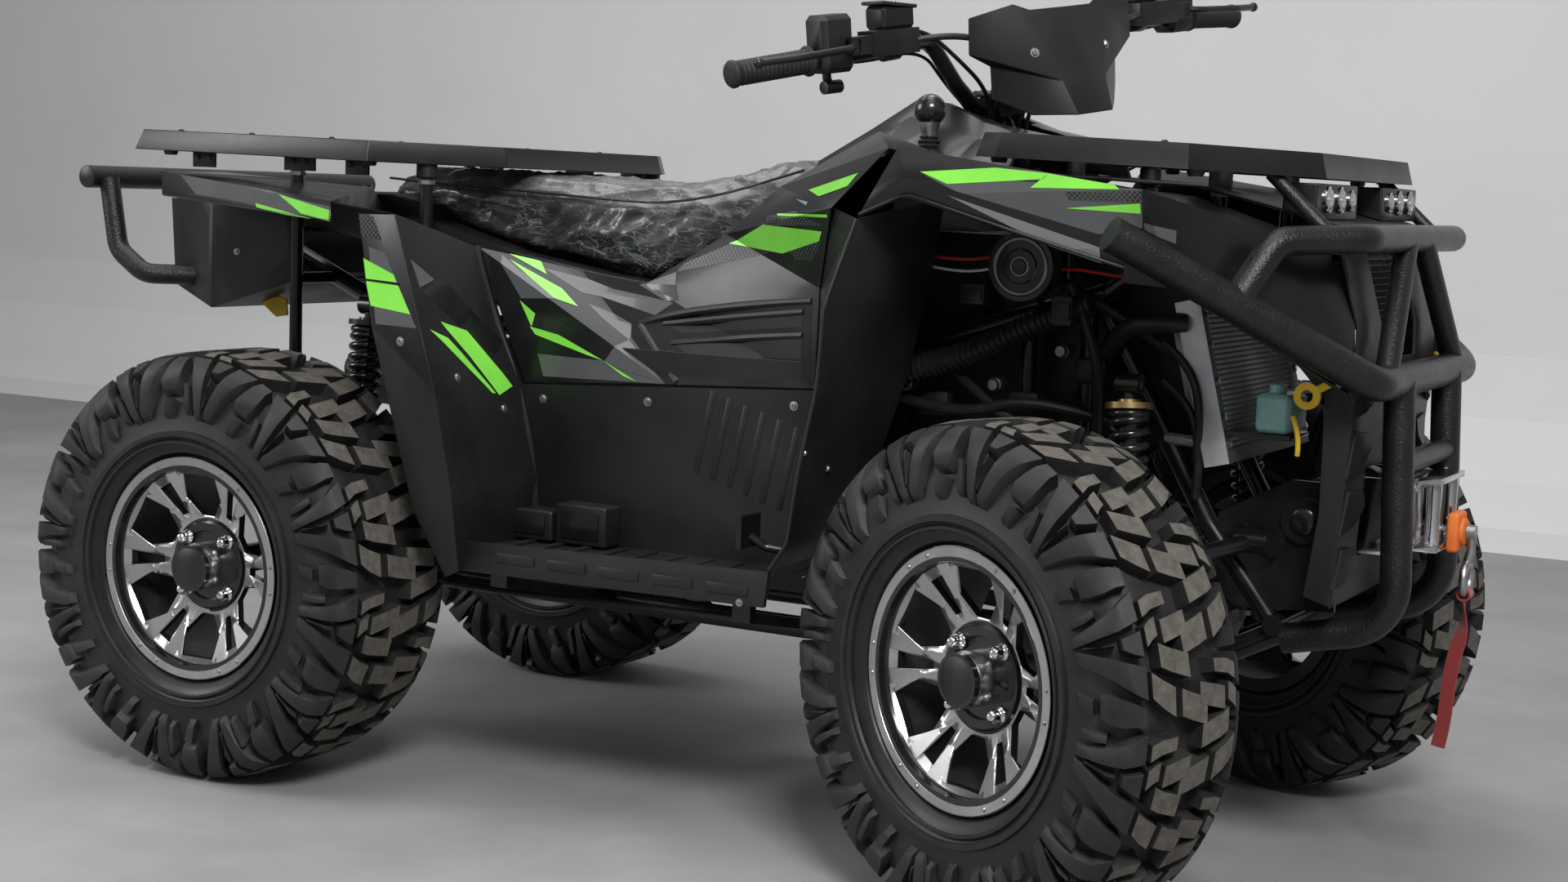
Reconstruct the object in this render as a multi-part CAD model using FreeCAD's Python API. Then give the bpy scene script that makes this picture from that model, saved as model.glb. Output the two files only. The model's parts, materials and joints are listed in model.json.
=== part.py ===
"""Utility quad bike, built as separate pieces.

Millimetres and degrees. x runs forward, y to the rider's left and z up, with the ground at z = 0.
Places below are measured from the middle of the wheelbase; the finished solids are moved forward by
box_centre_shift, so that the frame's origin lies under the middle of the machine's length.
The front wheels and the handlebar stand turned to the right by rest_steer.
"""
import FreeCAD, Part
import math
import os

V = FreeCAD.Vector
UP = V(0, 0, 1)
ACROSS = V(0, 1, 0)
ALONG = V(1, 0, 0)
ORIGIN = V(0, 0, 0)

# Driving sizes
wheelbase = 1300
front_half_track = 474.5
rear_half_track = 453.5
box_centre_shift = 10
rest_steer = -23.5
column_tilt = 27
running_gap = 0.3

tyre_radius = 317
front_tyre_width = 204
rear_tyre_width = 250
tread_depth = 20
bead_radius = 152.7
rim_lip_radius = 165
rim_lip_thickness = 8
rim_bore_radius = 145
front_lip_offset = 82
rear_lip_offset = 105
disc_thickness = 12
disc_depth = 44
hub_cap_radius = 34
hub_radius = 60
spindle_radius = 22
kingpin_inset = 100
kingpin_radius = 20

tube_radius = 15
bumper_radius = 22
loop_radius = 18
panel_wall = 3
rack_half_width = 400
rack_nose_half = 215
rack_flange = 31
rack_sheet = 3
rack_flare = 9
front_rack_rear = 493
front_rack_corner = 785
front_rack_nose = 895
front_rack_height = 984
rear_rack_rear = -900
rear_rack_corner = -458
rear_rack_front = -348
rear_rack_height = 957
rear_deck_front = -640
arm_inner = 290
seat_half_width = 190
board_half_width = 440
board_height = 380
board_bottom = 340
wall_half_width = 300
hitch_bore_radius = 8.2
hitch_plate = 8

axle_front = wheelbase / 2
axle_rear = -wheelbase / 2
tilt = math.radians(column_tilt)
column_axis = V(-math.sin(tilt), 0, math.cos(tilt))
clamp_point = V(360, 0, 1030)


# Shape makers
def box(x, y, z):
    return Part.makeBox(x[1] - x[0], y[1] - y[0], z[1] - z[0], V(x[0], y[0], z[0]))


def rod(start, end, radius):
    run = end - start
    return Part.makeCylinder(radius, run.Length, start, run)


def prism(corners, depth):
    return Part.Face(Part.makePolygon(corners + corners[:1])).extrude(depth)


def side_plate(corners, y0, y1):
    return prism([V(x, y0, z) for x, z in corners], V(0, y1 - y0, 0))


def flat_plate(corners, z0, z1):
    return prism([V(x, y, z0) for x, y in corners], V(0, 0, z1 - z0))


def mirrored(shape):
    return shape.mirror(ORIGIN, ACROSS)


def pair(shape):
    return [shape, mirrored(shape)]


def joined(shapes):
    whole = shapes[0].fuse(shapes[1:]) if len(shapes) > 1 else shapes[0]
    return whole.removeSplitter()


def turned(shape, point, axis, angle):
    copy = shape.copy()
    copy.rotate(point, axis, angle)
    return copy


def pipe(points, radius, bend):
    """A round tube through points, with a tangent arc of radius bend at each inner one."""
    edges = []
    start = points[0]
    for before, corner, after in zip(points, points[1:], points[2:]):
        back = (before - corner).normalize()
        ahead = (after - corner).normalize()
        half = back.getAngle(ahead) / 2
        shorter = min((before - corner).Length, (after - corner).Length)
        reach = min(bend / math.tan(half), 0.45 * shorter)
        size = reach * math.tan(half)
        enter = corner + back * reach
        leave = corner + ahead * reach
        middle_way = (back + ahead).normalize()
        middle = corner + middle_way * (size / math.sin(half) - size)
        edges.append(Part.LineSegment(start, enter).toShape())
        edges.append(Part.Arc(enter, middle, leave).toShape())
        start = leave
    edges.append(Part.LineSegment(start, points[-1]).toShape())
    ring = Part.Wire(Part.makeCircle(radius, points[0], points[1] - points[0]))
    return Part.Wire(edges).makePipeShell([ring], True, True)


def pressed(corners, facets, depth):
    """A moulded panel: flat facets between named corners, with its wall along depth."""
    pieces = []
    for facet in facets:
        first = corners[facet[0]]
        for second, third in zip(facet[1:], facet[2:]):
            pieces.append(prism([first, corners[second], corners[third]], depth))
    return joined(pieces)


def ribbed_loft(sections):
    """A closed form through like polygons, with flat or gently twisted sides."""
    wires = [Part.makePolygon(points + points[:1]) for points in sections]
    return Part.makeLoft(wires, True, True)


def cross_section(x, half_bottom, half_top, bottom, top, edge):
    """Points of a section at x: a trapezium whose upper corners are cut by edge."""
    return [V(x, -half_bottom, bottom), V(x, half_bottom, bottom),
            V(x, half_top + edge * 0.4, top - edge), V(x, half_top - edge * 0.6, top),
            V(x, -half_top + edge * 0.6, top), V(x, -half_top - edge * 0.4, top - edge)]


def ring_solid(profile, centre):
    """A solid turned about the y axis through centre, from (radius, across) points."""
    points = [V(0, across, radius) for radius, across in profile]
    face = Part.Face(Part.makePolygon(points + points[:1]))
    face.translate(centre)
    return face.revolve(centre, ACROSS, 360)


def kept(shape):
    """The main solid of a cut shape, without the crumbs that a cut leaves."""
    return max(shape.Solids, key=lambda solid: solid.Volume)


def on_axis(height):
    """The point of the steering column's axis at a height."""
    return clamp_point + column_axis * ((height - clamp_point.z) / column_axis.z)


def steered(shape):
    return turned(shape, clamp_point, column_axis, rest_steer)


def on_bar(shape):
    """The bar leans less than the column, so its group has its own rest turn."""
    lean = math.radians(bar_tilt)
    return turned(shape, clamp_point, V(-math.sin(lean), 0, math.cos(lean)), rest_steer)


saved = {}


def save(name, shapes):
    moved = []
    for shape in shapes:
        copy = shape.copy()
        copy.translate(V(box_centre_shift, 0, 0))
        moved.extend(copy.Solids)
    saved[name] = moved
    whole = moved[0] if len(moved) == 1 else Part.makeCompound(moved)
    whole.exportStep("parts/" + name + ".step")


# Wheels, turned about y with the outer side towards +y, at the origin
def tyre(width, lip_offset):
    bead = lip_offset - rim_lip_thickness - running_gap
    half = width / 2
    # columns: radius, distance from the middle plane
    rows = [(bead_radius + running_gap, bead), (rim_lip_radius + 1, bead), (rim_lip_radius + 7, lip_offset + 1),
            (205, half - 4), (240, half), (tyre_radius - 40, half - 1), (tyre_radius - 17, half - 12),
            (tyre_radius - 4, half - 32), (tyre_radius, half - 56)]
    other_side = [(radius, -across) for radius, across in reversed(rows)]
    return ring_solid(rows + other_side, ORIGIN)


def spoke_windows(lip_offset):
    """Six wide windows and six slots through the wheel's disc."""
    windows = []
    low = lip_offset - disc_depth - disc_thickness - 10
    high = lip_offset
    wide = [(-12, 74), (12, 74), (46, 116), (34, 136), (-34, 136), (-46, 116)]
    slot = [(-5, 84), (5, 84), (11, 132), (-11, 132)]
    for corners, first in ((wide, 0), (slot, 30)):
        shape = prism([V(across, low, up) for across, up in corners], V(0, high - low, 0))
        for step in range(6):
            windows.append(turned(shape, ORIGIN, ACROSS, first + 60 * step))
    return windows


def rim(lip_offset):
    lip = rim_lip_thickness
    profile = [(rim_bore_radius, -lip_offset), (rim_lip_radius, -lip_offset), (rim_lip_radius, -lip_offset + lip),
               (bead_radius, -lip_offset + lip), (bead_radius, lip_offset - lip),
               (rim_lip_radius, lip_offset - lip), (rim_lip_radius, lip_offset), (rim_bore_radius, lip_offset)]
    barrel = ring_solid(profile, ORIGIN)
    face = lip_offset - disc_depth
    near_rim = lip_offset - 16
    dish = ring_solid([(0, face - disc_thickness), (70, face - disc_thickness),
                       (rim_bore_radius + 1, near_rim - disc_thickness), (rim_bore_radius + 1, near_rim),
                       (70, face), (0, face)], ORIGIN)
    dish = dish.cut(Part.makeCompound(spoke_windows(lip_offset)))
    hub = rod(V(0, face - 26, 0), V(0, face + 1, 0), hub_radius)
    cap = rod(V(0, face, 0), V(0, lip_offset - 1, 0), hub_cap_radius)
    bore = rod(V(0, face - 27, 0), V(0, face, 0), spindle_radius + running_gap)
    return joined([barrel, dish, hub, cap]).cut(bore)


def place_wheel(shape, x, half_track, side):
    turned_shape = shape if side > 0 else turned(shape, ORIGIN, UP, 180)
    copy = turned_shape.copy()
    copy.translate(V(x, side * half_track, tyre_radius))
    return copy


def kingpin(side):
    return V(axle_front, side * (front_half_track - kingpin_inset), 0)


# Front knuckles, drawn straight ahead on the right side
stud_setback = 60
stud_height = 403
knuckle_low = 228
knuckle_high = 406
ball_radius = 16


def knuckle(side):
    pin = kingpin(-1)
    spindle_end = -(front_half_track + front_lip_offset - disc_depth - 1)
    body = [rod(V(pin.x, pin.y, knuckle_low), V(pin.x, pin.y, knuckle_high), kingpin_radius),
            rod(V(pin.x, pin.y, tyre_radius), V(pin.x, spindle_end, tyre_radius), spindle_radius),
            rod(V(pin.x, pin.y - 24, tyre_radius), V(pin.x, pin.y - 34, tyre_radius), 70),
            box((pin.x - stud_setback, pin.x), (pin.y - 9, pin.y + 9), (stud_height - 30, stud_height - 14)),
            rod(V(pin.x - stud_setback, pin.y, stud_height - 30), V(pin.x - stud_setback, pin.y, stud_height - 14), 9),
            rod(V(pin.x - stud_setback, pin.y, stud_height - 14), V(pin.x - stud_setback, pin.y, stud_height + 12), 5)]
    whole = joined(body)
    if side > 0:
        whole = mirrored(whole)
    return turned(whole, kingpin(side), UP, rest_steer)


# Steering column, with its lower arm, and the two rods
arm_length = stud_setback
column_foot = on_axis(432)
column_radius = 12


def pitman_pin():
    arm = V(-math.cos(tilt), 0, -math.sin(tilt)) * arm_length
    return column_foot + arm


def steering_column():
    pin = pitman_pin()
    shaft = rod(column_foot, clamp_point - column_axis * 12, column_radius)
    clamp = turned(box((-20, 20), (-22, 22), (-22, 20)), ORIGIN, ACROSS, -column_tilt)
    clamp.translate(clamp_point)
    arm_run = pin - column_foot
    across = V(0, 1, 0)
    corners = [column_foot - across * 16, pin - across * 10, pin + arm_run * 0.2, pin + across * 10,
               column_foot + across * 16]
    arm = prism([corner + column_axis * 22 for corner in corners], column_axis * 8)
    stud = rod(pin - column_axis * 22, pin + column_axis * 24, 5)
    boss = rod(column_foot, column_foot + column_axis * 34, 18)
    return steered(joined([shaft, clamp, boss, arm, stud]))


def tie_rod(side):
    pin = turned(Part.Vertex(pitman_pin()), clamp_point, column_axis, rest_steer).Point
    straight_stud = kingpin(side) + V(-stud_setback, 0, stud_height)
    stud = turned(Part.Vertex(straight_stud), kingpin(side), UP, rest_steer).Point
    middle = pin + column_axis * (9 if side < 0 else -11)
    inner = rod(middle - column_axis * 7, middle + column_axis * 7, 12)
    outer = rod(stud - UP * 7, stud + UP * 7, 16)
    run = (stud - middle).normalize()
    bar = rod(middle + run * 8, stud - run * 12, 7)
    whole = joined([inner, outer, bar])
    whole = whole.cut(rod(middle - column_axis * 8, middle + column_axis * 8, 5 + running_gap))
    return whole.cut(rod(stud - UP * 40, stud + UP * 40, 5 + 4.5))


# Chassis
upright_half = 130
rail_half = 118
pivot_half = 162
pivot_radius = 17
pivot_length = 44
ear_reach = 168
ear_wall = 5
low_pivot_height = 290
high_pivot_height = 470
low_spread = 105
high_spread = 170


def frame_tubes(rows):
    """Pairs of tubes. Columns: half spacing, tube radius, side-view points (x, z)."""
    tubes = []
    for half, radius, points in rows:
        for side in (-1, 1):
            route = [V(x, side * half, z) for x, z in points]
            tubes.append(pipe(route, radius, 70) if len(route) > 2 else rod(route[0], route[1], radius))
    return tubes


def crossbars(rows):
    """Columns: x, z, half length, radius."""
    return [rod(V(x, -half, z), V(x, half, z), radius) for x, z, half, radius in rows]


def pivot_ears(rows):
    """Pairs of ears that hold the arms' pivots. Columns: axle, spread, height."""
    ears = []
    for axle, spread, height in rows:
        for turn in (-1, 1):
            for edge in (-1, 1):
                x = axle + turn * spread + edge * (pivot_length / 2 + running_gap + ear_wall / 2)
                for side in (-1, 1):
                    y = sorted((side * (upright_half - 4), side * ear_reach))
                    z = (height - pivot_radius, height + pivot_radius)
                    ears.append(box((x - ear_wall / 2, x + ear_wall / 2), y, z))
    return ears


def pivot_plates(rows):
    """Side plates that join the ears to the tubes. Columns: axle, spread, low, high."""
    plates = []
    reach = pivot_length / 2 + running_gap + ear_wall
    for axle, spread, low, high in rows:
        for turn in (-1, 1):
            middle = axle + turn * spread
            for side in (-1, 1):
                y = sorted((side * (upright_half - 6), side * (upright_half + 4)))
                plates.append(box((middle - reach, middle + reach), y, (low, high)))
    return plates


def column_collar():
    parts = [rod(on_axis(900), on_axis(935), 24)]
    for side in (-1, 1):
        parts.append(rod(V(590, side * 146, 784), on_axis(915) + V(0, side * 16, 0), 10))
        parts.append(rod(V(400, side * 146, 710), on_axis(905) + V(0, side * 16, 0), 9))
    return parts


def column_socket():
    foot = column_foot - column_axis * 40
    return [rod(foot, column_foot - column_axis * running_gap, 20), rod(V(foot.x, 0, 354), foot + column_axis * 4, 14),
            box((512, 756), (-126, 126), (350 + running_gap, 358))]


def rack_posts():
    """Posts up to the racks' sheet. Columns: x, half spacing, low, high, radius."""
    rows = [(540, 150, 765, 978.8, 9), (745, 150, 822, 972.3, 9), (-720, 250, 560, 950.8, 10),
            (-420, 310, 692, 946, 10)]
    posts = []
    for x, half, low, high, radius in rows:
        for side in (-1, 1):
            posts.append(rod(V(x, side * half, low), V(x, side * half, high), radius))
    for side in (-1, 1):
        posts.append(rod(V(-720, side * 150, 734), V(-720, side * 252, 734), 9))
        posts.append(rod(V(-420, side * 150, 680), V(-420, side * 312, 700), 9))
        posts.append(rod(V(735, side * 150, 822), V(735, side * 150, 786), 6))
    return posts


def lower_frame():
    parts = frame_tubes([(rail_half, 16, [(-790, 560), (-745, 300), (-690, 263), (680, 263), (740, 290), (858, 352)])])
    parts += crossbars([(-500, 263, 119, 12), (-300, 263, 119, 12), (300, 263, 119, 12), (848, 360, 146, 14),
                        (axle_rear - 112, 352, 131, 11)])
    parts += pivot_plates([(axle_front, low_spread, 255, low_pivot_height + pivot_radius),
                           (axle_rear, low_spread, 255, low_pivot_height + pivot_radius)])
    parts += pivot_ears([(axle_front, low_spread, low_pivot_height), (axle_rear, low_spread, low_pivot_height)])
    parts.append(box((axle_rear - 225, axle_rear - 112), (-32, 32), (346, 346 + hitch_plate)))
    hitch = V(axle_rear - 198, 0, 340)
    return joined(parts).cut(rod(hitch, hitch + UP * 20, hitch_bore_radius))


def upper_frame():
    parts = frame_tubes([(150, 14, [(-905, 812), (-640, 700), (-300, 668), (250, 668), (597, 780)]),
                         (150, 11, [(597, 780), (640, 812), (905, 845)])])
    parts += crossbars([(-905, 812, 151, 13), (-640, 700, 151, 12), (597, 780, 151, 12), (250, 668, 151, 11),
                        (-300, 668, 151, 11), (905, 845, 151, 10)])
    whole = joined(parts + column_collar() + rack_posts())
    return whole.cut(rod(on_axis(880), on_axis(960), column_radius + running_gap))


def frame_uprights():
    parts = frame_tubes([(upright_half, 13, [(583, 775), (597, 745), (749, 482), (838, 368)]),
                         (upright_half, 13, [(-560, 263), (-560, 690)]),
                         (upright_half, 12, [(568, 263), (568, 768)]),
                         (upright_half, 12, [(480, 263), (480, 740)])])
    parts += crossbars([(axle_rear + 112, 352, 131, 11)])
    parts += pivot_plates([(axle_front, high_spread, high_pivot_height - pivot_radius, high_pivot_height + pivot_radius),
                           (axle_rear, low_spread, high_pivot_height - pivot_radius, high_pivot_height + pivot_radius)])
    parts += pivot_ears([(axle_front, high_spread, high_pivot_height), (axle_rear, low_spread, high_pivot_height)])
    parts.append(box((745, 930), (-upright_half - 4, upright_half + 4), (452, 458)))
    outline = [(757, 400), (800, 377), (925, 385), (929, 552), (860, 552), (764, 500)]
    for side in (-1, 1):
        inner = side * (upright_half + 1)
        parts.append(side_plate(outline, inner, inner + side * 5.5))
        parts.append(rod(V(880, inner, 500), V(880, inner + side * 12, 500), 30))
    return joined(parts + column_socket())


def floor_rails():
    """Outriggers that carry the footboards."""
    bars = []
    top = board_height - panel_wall - running_gap
    for x in (-200, 200):
        for side in (-1, 1):
            outline = [(rail_half - 2, 262), (board_half_width - 30, 322), (board_half_width - 30, top),
                       (board_half_width - 44, top), (board_half_width - 46, 335), (rail_half - 2, 276)]
            bars.append(prism([V(x - 14, side * y, z) for y, z in outline], V(28, 0, 0)))
    return bars


# Front and rear arms. Columns: pivot spread, pivot height, outer point, half height of its eye
def arm(x, side, spread, height, outer, eye_half):
    pivots = [V(x + spread, side * pivot_half, height), V(x - spread, side * pivot_half, height)]
    parts = [rod(pivot, outer, 11) for pivot in pivots]
    half = ALONG * (pivot_length / 2)
    for pivot in pivots:
        parts.append(rod(pivot - half, pivot + half, pivot_radius - 1))
    parts.append(rod(outer - UP * eye_half, outer + UP * eye_half, ball_radius))
    return joined(parts)


def front_arms():
    arms = []
    for side in (-1, 1):
        pin = kingpin(side)
        low = V(pin.x, pin.y, knuckle_low - running_gap - 12)
        high = V(pin.x, pin.y, knuckle_high + running_gap + 12)
        relief = rod(V(pin.x, pin.y, knuckle_low - running_gap), V(pin.x, pin.y, knuckle_high + running_gap),
                     kingpin_radius + 6)
        arms.append(arm(axle_front, side, low_spread, low_pivot_height, low, 12).cut(relief))
        arms.append(arm(axle_front, side, high_spread, high_pivot_height, high, 12).cut(relief))
    return arms


carrier_half = 340


def rear_arms():
    arms = []
    for side in (-1, 1):
        hub = V(axle_rear, side * carrier_half, tyre_radius)
        end = side * (rear_half_track + rear_lip_offset - disc_depth - 1)
        carrier = [box((axle_rear - 30, axle_rear + 30), sorted((side * 326, side * 352)), (215, 425)),
                   rod(hub, V(axle_rear, end, tyre_radius), spindle_radius),
                   rod(V(axle_rear + 28, side * 340, 320), V(rear_shock_foot.x, side * 305, 320), 10)]
        for height, inner_height in ((235, low_pivot_height), (405, high_pivot_height)):
            outer = V(axle_rear, side * carrier_half, height)
            carrier.append(arm(axle_rear, side, low_spread, inner_height, outer, 10))
        arms.append(joined(carrier))
    return arms


shock_radius = 15
spring_radius = 29


def shock(top, foot):
    """A damper with its eyes: body, rod, two spring seats."""
    run = (foot - top).normalize()
    length = (foot - top).Length
    parts = [rod(top, foot, 8), rod(top + run * 20, top + run * (length * 0.5), shock_radius),
             rod(top + run * 24, top + run * 32, spring_radius + 2),
             rod(top + run * (length - 40), top + run * (length - 32), spring_radius + 2),
             rod(top - ALONG * 16, top + ALONG * 16, 14), rod(foot - ALONG * 16, foot + ALONG * 16, 14)]
    return joined(parts)


def coil(top, foot):
    """The sleeve that the coil spring fills."""
    run = (foot - top).normalize()
    length = (foot - top).Length
    start = top + run * (32 + running_gap)
    reach = length - 72 - 2 * running_gap
    outer = rod(start, start + run * reach, spring_radius)
    return outer.cut(rod(start - run, start + run * (reach + 1), shock_radius + 2))


front_shock_top = V(668, -238, 668)
front_shock_foot = V(698, -283, 275)
rear_shock_top = V(-560, -262, 700)
rear_shock_foot = V(-565, -305, 344.3)


# Running gear
def engine():
    case = side_plate([(-250, 310), (180, 310), (240, 380), (230, 520), (120, 580), (-180, 560), (-260, 470)],
                      -105, 105)
    barrel_low = V(60, 0, 560)
    lean = V(-0.22, 0, 0.975)
    barrel = [rod(barrel_low, barrel_low + lean * 90, 58)]
    for step in range(5):
        at = barrel_low + lean * (16 + 15 * step)
        barrel.append(rod(at, at + lean * 5, 72))
    cover = rod(V(120, -100, 430), V(120, -150, 430), 92)
    belt = side_plate([(-220, 400), (-150, 340), (90, 340), (150, 410), (120, 500), (-150, 520)], 100, 150)
    return joined([case] + barrel + [cover, belt])


def exhaust():
    header = pipe([V(-24.5, 0, 612), V(-110, 12, 612), V(-260, 45, 600), V(-390, 45, 552)], 17, 60)
    can = rod(V(-380, 45, 556), V(-425, 45, 545), 30)
    muffler = rod(V(-420, 45, 546), V(-790, 45, 566), 54)
    tail = rod(V(-788, 45, 566), V(-850, 45, 570), 20)
    return joined([header, can, muffler, tail])


def gear_case(x, nose):
    body = side_plate([(x - 80, 268), (x + 80, 268), (x + 90, 320), (x + 50, 350), (x - 50, 350), (x - 90, 320)],
                      -72, 72)
    flange = rod(V(x, -98, tyre_radius), V(x, 98, tyre_radius), 30)
    neck = rod(V(x, 0, 312), V(x + nose, 0, 312), 26)
    return [body, flange, neck]


def rear_case():
    lugs = box((axle_rear - 101 + running_gap, axle_rear + 101 - running_gap), (-30, 30), (340, 357))
    return joined(gear_case(axle_rear, 150) + [lugs])


def drive_shafts():
    shafts = []
    for x, reach in ((axle_front, 344), (axle_rear, 325.7)):
        for side in (-1, 1):
            start = V(x, side * (98 + running_gap), tyre_radius)
            end = V(x, side * reach, tyre_radius)
            way = V(0, side, 0)
            boots = [rod(start, end, 10), Part.makeCone(28, 16, 50, start, way),
                     Part.makeCone(15, 26, 40, end - way * 40, way)]
            shafts.append(joined(boots))
    shafts.append(rod(V(-499, 0, 312), V(-252, 0, 330), 12))
    shafts.append(rod(V(213, 0, 330), V(529, 0, 312), 12))
    return shafts


# Cooling
radiator_low = V(756, 0, 562)
radiator_lean = V(-0.2436, 0, 0.9699)


def radiator():
    up = radiator_lean
    out = V(up.z, 0, -up.x)
    height = 218
    half = 182

    def slab(low, high, y0, y1, depth):
        base = radiator_low + up * low + V(0, y0, 0)
        corners = [base, base + out * depth, base + out * depth + V(0, y1 - y0, 0), base + V(0, y1 - y0, 0)]
        return prism(corners, up * (high - low))

    core = slab(14, height - 14, -half + 16, half - 16, 28)
    frame_parts = [slab(0, 18, -half, half, 34), slab(height - 18, height, -half, half, 34),
                   slab(0, height, -half, -half + 18, 34), slab(0, height, half - 18, half, 34)]
    shroud = slab(20, height - 20, -120, 120, -30)
    tray = box((776, 864), (-175, -89), (605, 612 - running_gap))
    feet = [rod(V(756, side * 150, 590), V(687, side * 136, 592), 8) for side in (-1, 1)]
    return joined([core, shroud, tray] + frame_parts + feet)


# Plastic shell, right side first
def fender_panel():
    """Corner names: a along the arch, t along the crease, j and i along the inner deck."""
    corners = {"a0": V(372, -450, 871), "a1": V(439, -450, 901), "a2": V(770, -384, 805), "a3": V(952, -236, 676),
               "t0": V(425, -450, 960), "t1": V(739, -430, 918), "t2": V(848, -286, 876),
               "j0": V(425, -410, 940), "j1": V(747, -395, 905),
               "i0": V(425, -242, 942), "i1": V(747, -242, 912), "i2": V(905, -204, 858), "i3": V(946, -204, 760)}
    facets = [("a0", "t0", "a1"), ("a1", "t0", "t1", "a2"), ("a2", "t1", "t2", "a3"),
              ("t0", "j0", "j1", "t1"), ("j0", "i0", "i1", "j1"), ("j1", "i1", "i2", "t2"), ("t1", "j1", "t2"),
              ("t2", "i2", "i3", "a3")]
    return pressed(corners, facets, V(-panel_wall, panel_wall, -panel_wall))


def leg_shield():
    corners = {"p0": V(372, -450, 868), "p1": V(330, -450, 750), "p2": V(323, -450, 644), "p3": V(300, -448, 538),
               "p4": V(286, -446, 442), "p5": V(258, -440, 402),
               "q0": V(396, -240, 900), "q1": V(372, -240, 750), "q2": V(345, -240, 640), "q3": V(312, -240, 538),
               "q4": V(275, -240, 442), "q5": V(240, -240, 402),
               "w0": V(300, -380, 880), "w1": V(245, -300, 770), "w2": V(243, -300, 631), "w3": V(215, -300, 530),
               "w4": V(205, -300, 442), "w5": V(200, -300, 402)}
    front = [("p%d" % n, "p%d" % (n + 1), "q%d" % (n + 1), "q%d" % n) for n in range(5)]
    back = [("p%d" % n, "w%d" % n, "w%d" % (n + 1), "p%d" % (n + 1)) for n in range(5)]
    wall = V(-panel_wall, panel_wall, 0)
    return joined([pressed(corners, front, wall), pressed(corners, back, wall)])


def footwell():
    """Board, valance, inner wall and the wall ahead of the rear wheel."""
    corners = {"b0": V(-258, -440, 345), "b1": V(250, -440, 352), "v0": V(-242, -440, 388), "v1": V(256, -440, 400),
               "f0": V(-240, -432, 380), "f1": V(246, -432, 384), "g0": V(-215, -300, 380), "g1": V(200, -300, 384),
               "h0": V(-245, -300, 604), "h1": V(243, -300, 631), "h2": V(-300, -300, 720),
               "e0": V(-264, -450, 334), "e1": V(-242, -470, 463), "e2": V(-268, -490, 600), "e3": V(-296, -500, 690),
               "e4": V(-345, -480, 846)}
    wall = V(panel_wall * 0.3, panel_wall, -panel_wall)
    floor = pressed(corners, [("f0", "f1", "g1", "g0")], V(0, 0, -panel_wall))
    valance = pressed(corners, [("b0", "b1", "v1", "v0")], V(0, 8, 0))
    inner = pressed(corners, [("g0", "g1", "h1", "h0")], V(0, -panel_wall, 0))
    return joined([floor, valance, inner])


def rear_guard():
    corners = {"a0": V(-390, -500, 845), "a1": V(-364, -500, 688), "a2": V(-341, -498, 608), "a3": V(-300, -480, 430),
               "a4": V(-264, -450, 334), "b0": V(-327, -500, 847), "b1": V(-278, -500, 688), "b2": V(-252, -500, 604),
               "b3": V(-236, -480, 465), "b4": V(-242, -450, 345),
               "c0": V(-330, -300, 800), "c1": V(-291, -300, 697), "c2": V(-245, -300, 604), "c3": V(-210, -300, 465),
               "c4": V(-215, -300, 384)}
    outer = [("a%d" % n, "b%d" % n, "b%d" % (n + 1), "a%d" % (n + 1)) for n in range(4)]
    front = [("b%d" % n, "c%d" % n, "c%d" % (n + 1), "b%d" % (n + 1)) for n in range(4)]
    return pressed(corners, outer + front, V(-panel_wall, panel_wall, 0))


def rear_fender():
    corners = {"s0": V(-890, -370, 893), "s1": V(-442, -500, 861), "l0": V(-890, -370, 858), "l1": V(-441, -500, 835),
               "s2": V(-330, -500, 848), "d0": V(-900, -220, 895), "d1": V(-600, -215, 880), "d2": V(-330, -300, 802),
               "d3": V(-560, -215, 842), "l2": V(-388, -500, 846)}
    facets = [("l0", "l1", "s1", "s0"), ("s0", "s1", "d1", "d0"), ("s1", "s2", "d3", "d1"), ("s2", "d2", "d3")]
    return pressed(corners, facets, V(-panel_wall * 0.2, panel_wall, -panel_wall))


def tail():
    """Closed tail box between the rear fenders."""
    sections = [[V(-975, -y, 712), V(-975, y, 712), V(-985, y, 850), V(-985, -y, 850)] for y in (250,)]
    sections.append([V(-860, -290, 680), V(-860, 290, 680), V(-860, 290, 852), V(-860, -290, 852)])
    sections.append([V(-720, -250, 730), V(-720, 250, 730), V(-700, 250, 830), V(-700, -250, 830)])
    outer = ribbed_loft(sections)
    hollow = ribbed_loft([[V(-960, -y, 724), V(-960, y, 724), V(-970, y, 860), V(-970, -y, 860)] for y in (238,)]
                         + [[V(-860, -278, 692), V(-860, 278, 692), V(-860, 278, 870), V(-860, -278, 870)],
                            [V(-690, -238, 742), V(-690, 238, 742), V(-690, 238, 850), V(-690, -238, 850)]])
    return outer.cut(hollow)


def console():
    # columns: x, half width below, half width above, bottom, top, edge
    rows = [(135, 217.2, 130, 896, 944, 22), (215, 225.2, 130, 934, 990, 26), (285, 232.2, 125, 966, 1034, 26),
            (330, 234, 128, 960, 1030, 26), (400, 236, 150, 944, 1003, 22), (479.8, 237.7, 190, 936, 986, 14)]
    outer = ribbed_loft([cross_section(*row) for row in rows])
    wall = panel_wall
    inner_rows = [(x, below - wall * 2, above - wall, bottom - 1 - wall, top - wall, edge)
                  for x, below, above, bottom, top, edge in rows]
    inner_rows[0] = (rows[0][0] - 1,) + inner_rows[0][1:]
    inner_rows[-1] = (rows[-1][0] + 1,) + inner_rows[-1][1:]
    shell = outer.cut(ribbed_loft([cross_section(*row) for row in inner_rows]))
    return shell.cut(rod(on_axis(940), on_axis(1080), 74)).cut(rod(on_axis(1004), on_axis(1100), 97))


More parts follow.
